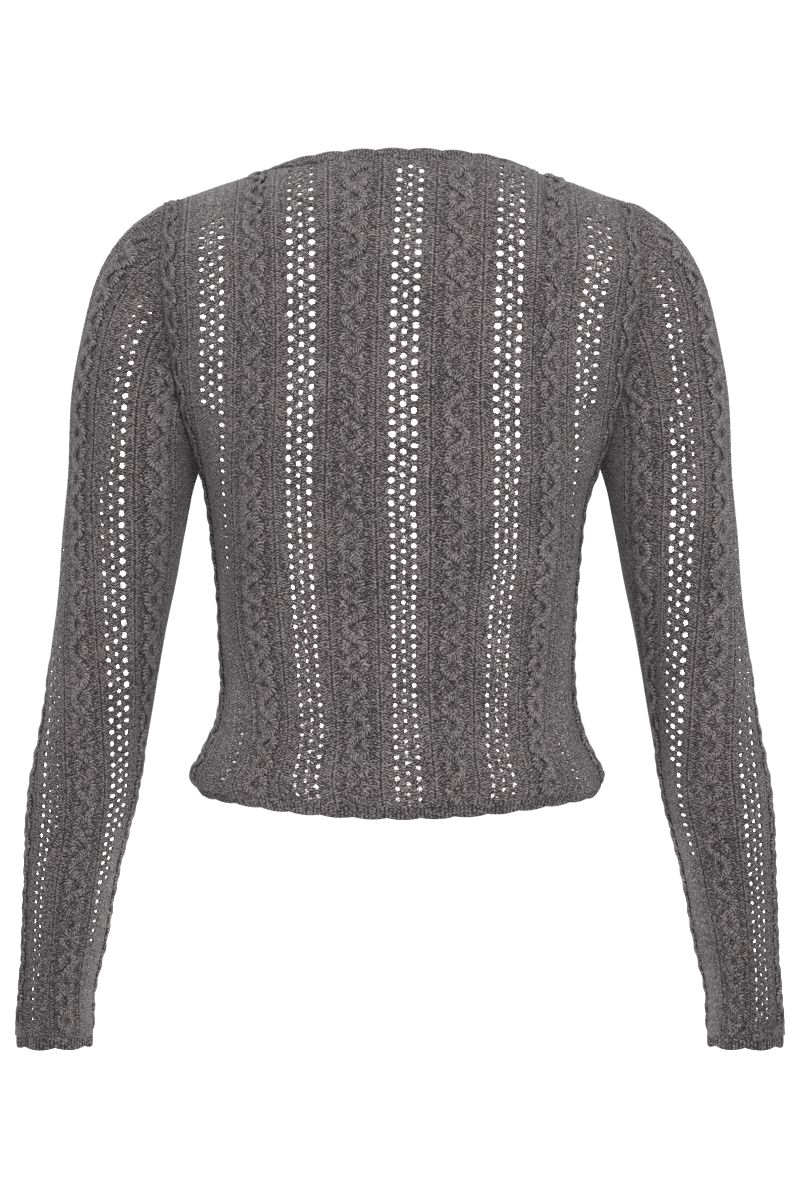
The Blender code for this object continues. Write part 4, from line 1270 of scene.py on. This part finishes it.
knitFinish = {
    "tones": ((0.12, (0.0080, 0.0070, 0.0078)), (0.5, (0.0405, 0.0364, 0.0388)), (0.88, (0.158, 0.146, 0.153))),
    "warm": (1.08, 0.99, 0.95),
    # colour of light specks near the eyelets: painted glints of light through gaps between the stitches, and light
    # fibres
    "fibreAndGlint": (0.62, 0.60, 0.59),
    "course": 1.9,
    "zigzag": 8.0,
    "strokeRise": 1.05,
    # painted shade: how much darker the valleys between the stitch strokes are than their crests
    "strokeShade": 0.56,
    "fibre": 1.9,
    "slow": 0.3,
    "wobble": 1.6,
    "wobbleNoise": (230.0, 1.0),
    "fibreNoise": (640.0, 1.0),
    "slowNoise": (26.0, 2.0),
    "warmNoise": (60.0, 2.0),
    # the next three values place the painted glints and light fibres near the eyelet columns, fewer on the sleeves
    "fibreGlintNoise": (900.0, 0.0),
    "fibreGlintFrom": 0.70,
    "fibreGlintBeside": 0.4,
    "seamShade": 0.47,
    # the next three values paint shade into the furrow beside each plait, a highlight on the fine ribs either side of
    # it, and shade into the dip next to the plait
    "furrow": (0.6, 0.26),
    "fineRib": (1.5, 0.55, 0.24),
    "plaitDipShade": (11.4, 1.4, 0.08),
    # painted shade along the edges of the plait strands
    "strandEdgeShade": (0.25, 0.5),
    # painted shade between the ribs of the trims and bands, and a weaker stroke pattern there
    "rib": 0.28,
    "ribStroke": 0.16,
    "roughness": 0.92,
    "bump": 0.9,
    "bumpDepth": 0.0007,
    # painted shade: the next three values darken the knit towards the bottom, where less light reaches the lower
    # sleeves, cuffs and hem
    "shadeBelowFrom": -0.4,
    "shadeBelowOver": 0.2,
    "lower": 0.07,
    "sheen": 0.12,
    "specular": 0.15,
}


def makeKnit(name, kind, pitch=None, shadedShare=1.0):
    values = knitFinish
    f = Finish(name, values["roughness"])
    split = f.add("ShaderNodeSeparateXYZ", None, {0: f.add("ShaderNodeUVMap", {"uv_map": "UVMap"})})
    across, along = split * 1000, Socket(f, split.link.node.outputs[1]) * 1000
    place = f.add("ShaderNodeTexCoord", None, None, out=3)
    wobble, fibre, slow, warm = (f.noise(place, *values[key + "Noise"]) for key in ("wobble", "fibre", "slow", "warm"))
    if kind in ("strand", "stitch"):
        zigzag = abs(across) / plait["halfWidth"]
    else:
        zigzag = f.zigzag(across / values["zigzag"])
    strokes = f.sine(along / values["course"] + zigzag * values["strokeRise"] + wobble * values["wobble"])
    height = strokes
    grain = (fibre - 0.5) * values["fibre"] + (slow - 0.5) * values["slow"]
    # the tone is the yarn's own grain plus painted shade: darker in the valleys between the stitch strokes, lighter on
    # their crests
    shade = 0.5 + (strokes - 0.5) * values["strokeShade"] + grain
    if kind == "cloth":
        # painted shade in the furrow between the fine ribs beside each plait, a painted highlight on those ribs, and
        # painted shade in the dip next to the plait
        away = (0.5 - f.zigzag(across / pitch) * 0.5) * pitch
        off = away - knit["ribOff"]
        width, deep = values["furrow"]
        shade = shade - f.bell(off, width) * deep
        beside, width, high = values["fineRib"]
        shade = shade + f.bell(abs(off) - beside, width) * high
        side, width, deep = values["plaitDipShade"]
        shade = shade - f.bell(away - side, width) * deep
    elif kind == "stitch":
        shade = values["seamShade"] + grain
    elif kind == "strand":
        # the strands are painted a little lighter, a painted highlight for their raised crests, with painted shade
        # along their edges
        width, deep = values["strandEdgeShade"]
        shade = shade + 0.1 - f.bell(1 - zigzag, width) * deep
    else:
        # painted shade in the hollows between the ribs of the trims and bands
        rib = f.sine(across / pitch + 0.25)
        height = rib * 0.8 + strokes * 0.2
        shade = shade + (rib - 0.5) * values["rib"] - (strokes - 0.5) * values["ribStroke"]
    # painted shade: darker towards the bottom, below a given height, where less light reaches the lower sleeves, cuffs
    # and hem
    z = Socket(f, f.add("ShaderNodeSeparateXYZ", None, {0: place}, out=2).link)
    shade = shade - ((values["shadeBelowFrom"] - z) / values["shadeBelowOver"]).between(0, 1) * values["lower"]
    # the tones are scaled down for darker copies of the finish: painted shade
    stops = [(at, tuple(shadedShare * c for c in tone)) for at, tone in values["tones"]]
    colour = f.add("ShaderNodeValToRGB", {"stops": stops}, {"Fac": shade})
    tint = f.mix(warm, colour, values["warm"], {"blend_type": "MULTIPLY"})
    # light specks near the eyelet columns: painted glints of light through gaps between the stitches, and light fibres;
    # fewer on the sleeves
    if kind == "cloth":
        column = f.zigzag(across / pitch) * 0.5 * pitch
        fibreAndGlint = ((f.noise(place, *values["fibreGlintNoise"]) - values["fibreGlintFrom"]) * 10).between(0, 1)
        share = 1 if pitch == knit["repeat"] else values["fibreGlintBeside"]
        tint = f.mix(fibreAndGlint * f.bell(column / 10, 1) * share, tint, values["fibreAndGlint"])
    f.feed(f.shader.inputs["Base Color"], tint)
    bump = {"Height": height + fibre * 0.3, "Strength": values["bump"], "Distance": values["bumpDepth"]}
    f.feed(f.shader.inputs["Normal"], f.add("ShaderNodeBump", None, bump))
    f.set({"Sheen Weight": values["sheen"], "Sheen Roughness": 0.5, "Specular IOR Level": values["specular"]})
    return f.material


buttonFinish = {"dark": (0.07, 0.068, 0.07), "light": (0.2, 0.195, 0.2), "roughness": 0.3, "coat": 0.3, "scale": 260.0}


def makeButtonFinish():
    f = Finish("buttonShell", buttonFinish["roughness"])
    place = f.add("ShaderNodeTexCoord", None, None, out=3)
    values = {"Vector": place, "Scale": buttonFinish["scale"], "Detail": 3.0, "Distortion": 1.2}
    stops = ((0.35, buttonFinish["dark"]), (0.65, buttonFinish["light"]))
    colour = f.add("ShaderNodeValToRGB", {"stops": stops}, {"Fac": f.add("ShaderNodeTexNoise", None, values)})
    f.feed(f.shader.inputs["Base Color"], colour)
    f.set({"Coat Weight": buttonFinish["coat"]})
    return f.material


# the sleeve, hem and cuff finishes are darker copies of the knit: painted shade for parts that get less light
knits = {
    "torsoKnit": ("cloth", knit["repeat"]),
    "sleeveKnit": ("cloth", knit["sleeveRepeat"], 0.95),
    "plaitKnit": ("strand",),
    "neckRib": ("rib", trim["pitch"]["neck"]),
    "hemRib": ("rib", trim["pitch"]["hem"], 0.87),
    "cuffRib": ("rib", trim["pitch"]["cuff"], 0.85),
    "seamYarn": ("stitch",),
}
finishes = {name: makeKnit(name, *values) for name, values in knits.items()}
finishes["buttonShell"] = makeButtonFinish()
tree = stitchTree(finishes["seamYarn"])
openSeams, ringSeams = seamLines()
addStitches("seamStitches", openSeams, "seam")
addStitches("armholeStitches", ringSeams, "seam", closed=True)
addStitches("buttonholeStitches", buttonholeLines(), "buttonhole", closed=True)
addStitches("buttonStitches", threads, "thread")
print("stitches ready", {name: len(piece.data.polygons) for name, piece in pieces.items() if name.endswith("Stitches")})

wears = {
    "clothSleeve": "sleeveKnit",
    "cloth": "torsoKnit",
    "plaits": "plaitKnit",
    "hem": "hemRib",
    "cuff": "cuffRib",
    "neck": "neckRib",
    "band": "neckRib",
    "buttonhole": "seamYarn",
    "buttonStitches": "seamYarn",
    "button": "buttonShell",
    "seam": "seamYarn",
    "armhole": "seamYarn",
}
for name, piece in pieces.items():
    finish = next(wears[start] for start in wears if name.startswith(start))
    if not piece.data.materials:
        piece.data.materials.append(finishes[finish])
    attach(piece, "root")
    "button" if finish == "buttonShell" else "rib" if finish.endswith("Rib") else "knit"

stands = {
    "clothBack": "back",
    "neckTrim": "neck_trim",
    "hemTrimBack": "hem_trim_back",
    "bandUnder": "button_band",
    "bandOver": "buttonhole_band",
    **{f"button{k}": f"button_{k}" for k in range(1, button["count"] + 1)},
}
pairs = {"clothFront": "front", "clothSleeve": "sleeve", "hemTrim": "hem_trim", "cuffTrim": "cuff_trim"}
for hand in ("Left", "Right"):
    stands.update({name + hand: f"{node}_{hand.lower()}" for name, node in pairs.items()})
for name, node in stands.items():
    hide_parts(node)
print("finishes ready")

# Each panel is a sheet of knitted cloth; its cut is measured along the worn surface, so the worn cloth is unstretched,
# and its flat size and area are printed. Each panel is a sheet of knitted cloth; its cut is measured along the worn
# surface, so it counts as unstretched

def cutOf(top, cloth, wales, low):
    tops = np.array([float(top(wale)) for wale in wales])
    courses = np.linspace(low, min(tops.max(), torso["underarm"]), 12)
    rows = [cloth.spot(wales, np.full(len(wales), course)) for course in courses]
    width = max(np.linalg.norm(np.diff(row, axis=0), axis=1).sum() for row in rows)
    share = np.linspace(0, 1, 120)[:, None]
    grid = cloth.spot(wales + 0 * share, low + (tops - low) * share)
    down = np.linalg.norm(np.diff(grid, axis=0), axis=2).sum(0)
    a, b = np.diff(grid, axis=0)[:, :-1], np.diff(grid, axis=1)[:-1]
    area = np.linalg.norm(np.cross(a, b), axis=2).sum()
    return (float(width) * mm, float(down.max()) * mm), float(area) * mm * mm


def bandTop(wale):
    return frontNeck(0.0) + trim["neck"]


sleeveTop, half = cloths["sleeve"].top, arm["girth"] / 2
bandLow = torso["hem"] - trim["hem"]
cuts = {
    "clothBack": ("back", cloths["back"].top, (-sides["back"], sides["back"]), torso["hem"], ()),
    "clothFrontRight": ("front", frontTop, (underBand[1], sides["front"]), torso["hem"], ("clothBack",)),
    "clothFrontLeft": ("front", frontTop, (-sides["front"], underBand[0]), torso["hem"], ("clothBack",)),
    "clothSleeveRight": ("sleeve", sleeveTop, (-half, half), arm["cuff"], ("clothBack",)),
    "clothSleeveLeft": ("sleeve", sleeveTop, (-half, half), arm["cuff"], ("clothBack",)),
    "bandUnder": ("front", bandTop, underBand, bandLow, ("clothFrontLeft",)),
    "bandOver": ("front", bandTop, upperBand, bandLow, ("clothFrontRight",)),
}
goesWith = {
    "clothBack": ("plaitsBack", "hemTrimBack", "neckTrim", "seamStitches", "armholeStitches"),
    "clothFrontRight": ("plaitsFrontRight", "hemTrimRight"),
    "clothFrontLeft": ("plaitsFrontLeft", "hemTrimLeft"),
    "clothSleeveRight": ("plaitsSleeveRight", "cuffTrimRight"),
    "clothSleeveLeft": ("plaitsSleeveLeft", "cuffTrimLeft"),
    "bandOver": ("buttonholeStitches",),
}
for name, (cloth, top, (start, end), low, on) in cuts.items():
    flat, area = cutOf(top, cloths[cloth], np.linspace(start, end, 121), low)
    along = [pieces[other] for other in goesWith.get(name, ())]
    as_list(on)
    print("sheet", name, "flat", [round(1000 * side) for side in flat], "mm, area", round(area, 4), "square metres")


# Floor, light and camera

studio = {
    "camera": (0, -2.6, -0.302),
    "lens": 111.4,
    "sensor": (24.0, 36.0),
    "floor": -0.66,
    "floorReach": 40,
    "floorColour": (0.9, 0.9, 0.9),
    "air": 1.12,
    "aim": (0, 0, -0.3),
    "lamps": {"keyLight": ((0.55, -2.1, 1.5), 0.9, 83), "frontLight": ((-1.4, 2.3, 1.2), 1.2, 60)},
}


def makeStage():
    reach = studio["floorReach"]
    corners = [(x, y, studio["floor"]) for x, y in ((-reach, -reach), (reach, -reach), (reach, reach), (-reach, reach))]
    floor = makeMesh("floor", corners, [(0, 1, 2, 3)], smooth=False)
    f = Finish("paleFloor", 0.9)
    f.set({"Base Color": (*studio["floorColour"], 1)})
    floor.data.materials.append(f.material)


def addLight(name, spot, aim, size, watts):
    lamp = bpy.data.lights.new(name, "AREA")
    lamp.shape, lamp.size, lamp.size_y, lamp.energy = "RECTANGLE", size[0], size[1], watts
    thing = bpy.data.objects.new(name, lamp)
    bpy.context.scene.collection.objects.link(thing)
    back = unit(np.subtract(spot, aim))
    side = unit(np.cross((0, 0, 1), back))
    rows = np.stack([side, np.cross(back, side), back, spot], 1)
    thing.matrix_world = Matrix([*rows.tolist(), (0, 0, 0, 1)])
    thing.visible_camera = False


makeStage()
bpy.context.scene.view_settings.view_transform = "Standard"
world = bpy.data.worlds.new("studioAir")
bpy.context.scene.world = world
world.use_nodes = True
world.node_tree.nodes["Background"].inputs[0].default_value = (1, 1, 1, 1)
world.node_tree.nodes["Background"].inputs[1].default_value = studio["air"]
for name, (spot, size, watts) in studio["lamps"].items():
    addLight(name, spot, studio["aim"], (size, size), watts)

# lamps in the hollow light the inside of the front, as in a picture studio, so that eyelets read as white;
# their watts are for a square metre
hollow = {
    "torso": ((-0.125, 0.17, 0.27), (-0.32, 0.22, 0.22)),
    "torsoForward": -0.02,
    "torsoWatts": 170,
    "sleeveEnds": (-85, -600),
    "sleeveCount": 7,
    "sleeveWide": 0.035,
    "sleeveBack": 0.45,
    "sleeveWatts": 520,
}
for k, (height, tall, wide) in enumerate(hollow["torso"]):
    spot = (0, hollow["torsoForward"], height)
    addLight(f"torsoLamp{k}", spot, (0, 1, height), (wide, tall), hollow["torsoWatts"] * wide * tall)
upper, lower = hollow["sleeveEnds"]
step = (upper - lower) / hollow["sleeveCount"]
size = (hollow["sleeveWide"], step * mm)
for k in range(hollow["sleeveCount"]):
    height = upper - (k + 0.5) * step
    x = float(levelAt(arm, "across", height)) * mm
    y = float(levelAt(arm, "forward", height) - hollow["sleeveBack"] * levelAt(arm, "halfDepth", height)) * mm
    for way in (1, -1):
        spot, aim = (way * x, y, height * mm), (way * x, y + 1, height * mm)
        addLight(f"sleeveLamp{k}{way}", spot, aim, size, hollow["sleeveWatts"] * size[0] * size[1])

camera = bpy.data.cameras.new("camera")
camera.lens, camera.sensor_fit = studio["lens"], "VERTICAL"
camera.sensor_width, camera.sensor_height = studio["sensor"]
view = bpy.data.objects.new("camera", camera)
bpy.context.scene.collection.objects.link(view)
view.location = studio["camera"]
view.rotation_euler = (math.pi / 2, 0, 0)
bpy.context.scene.camera = view
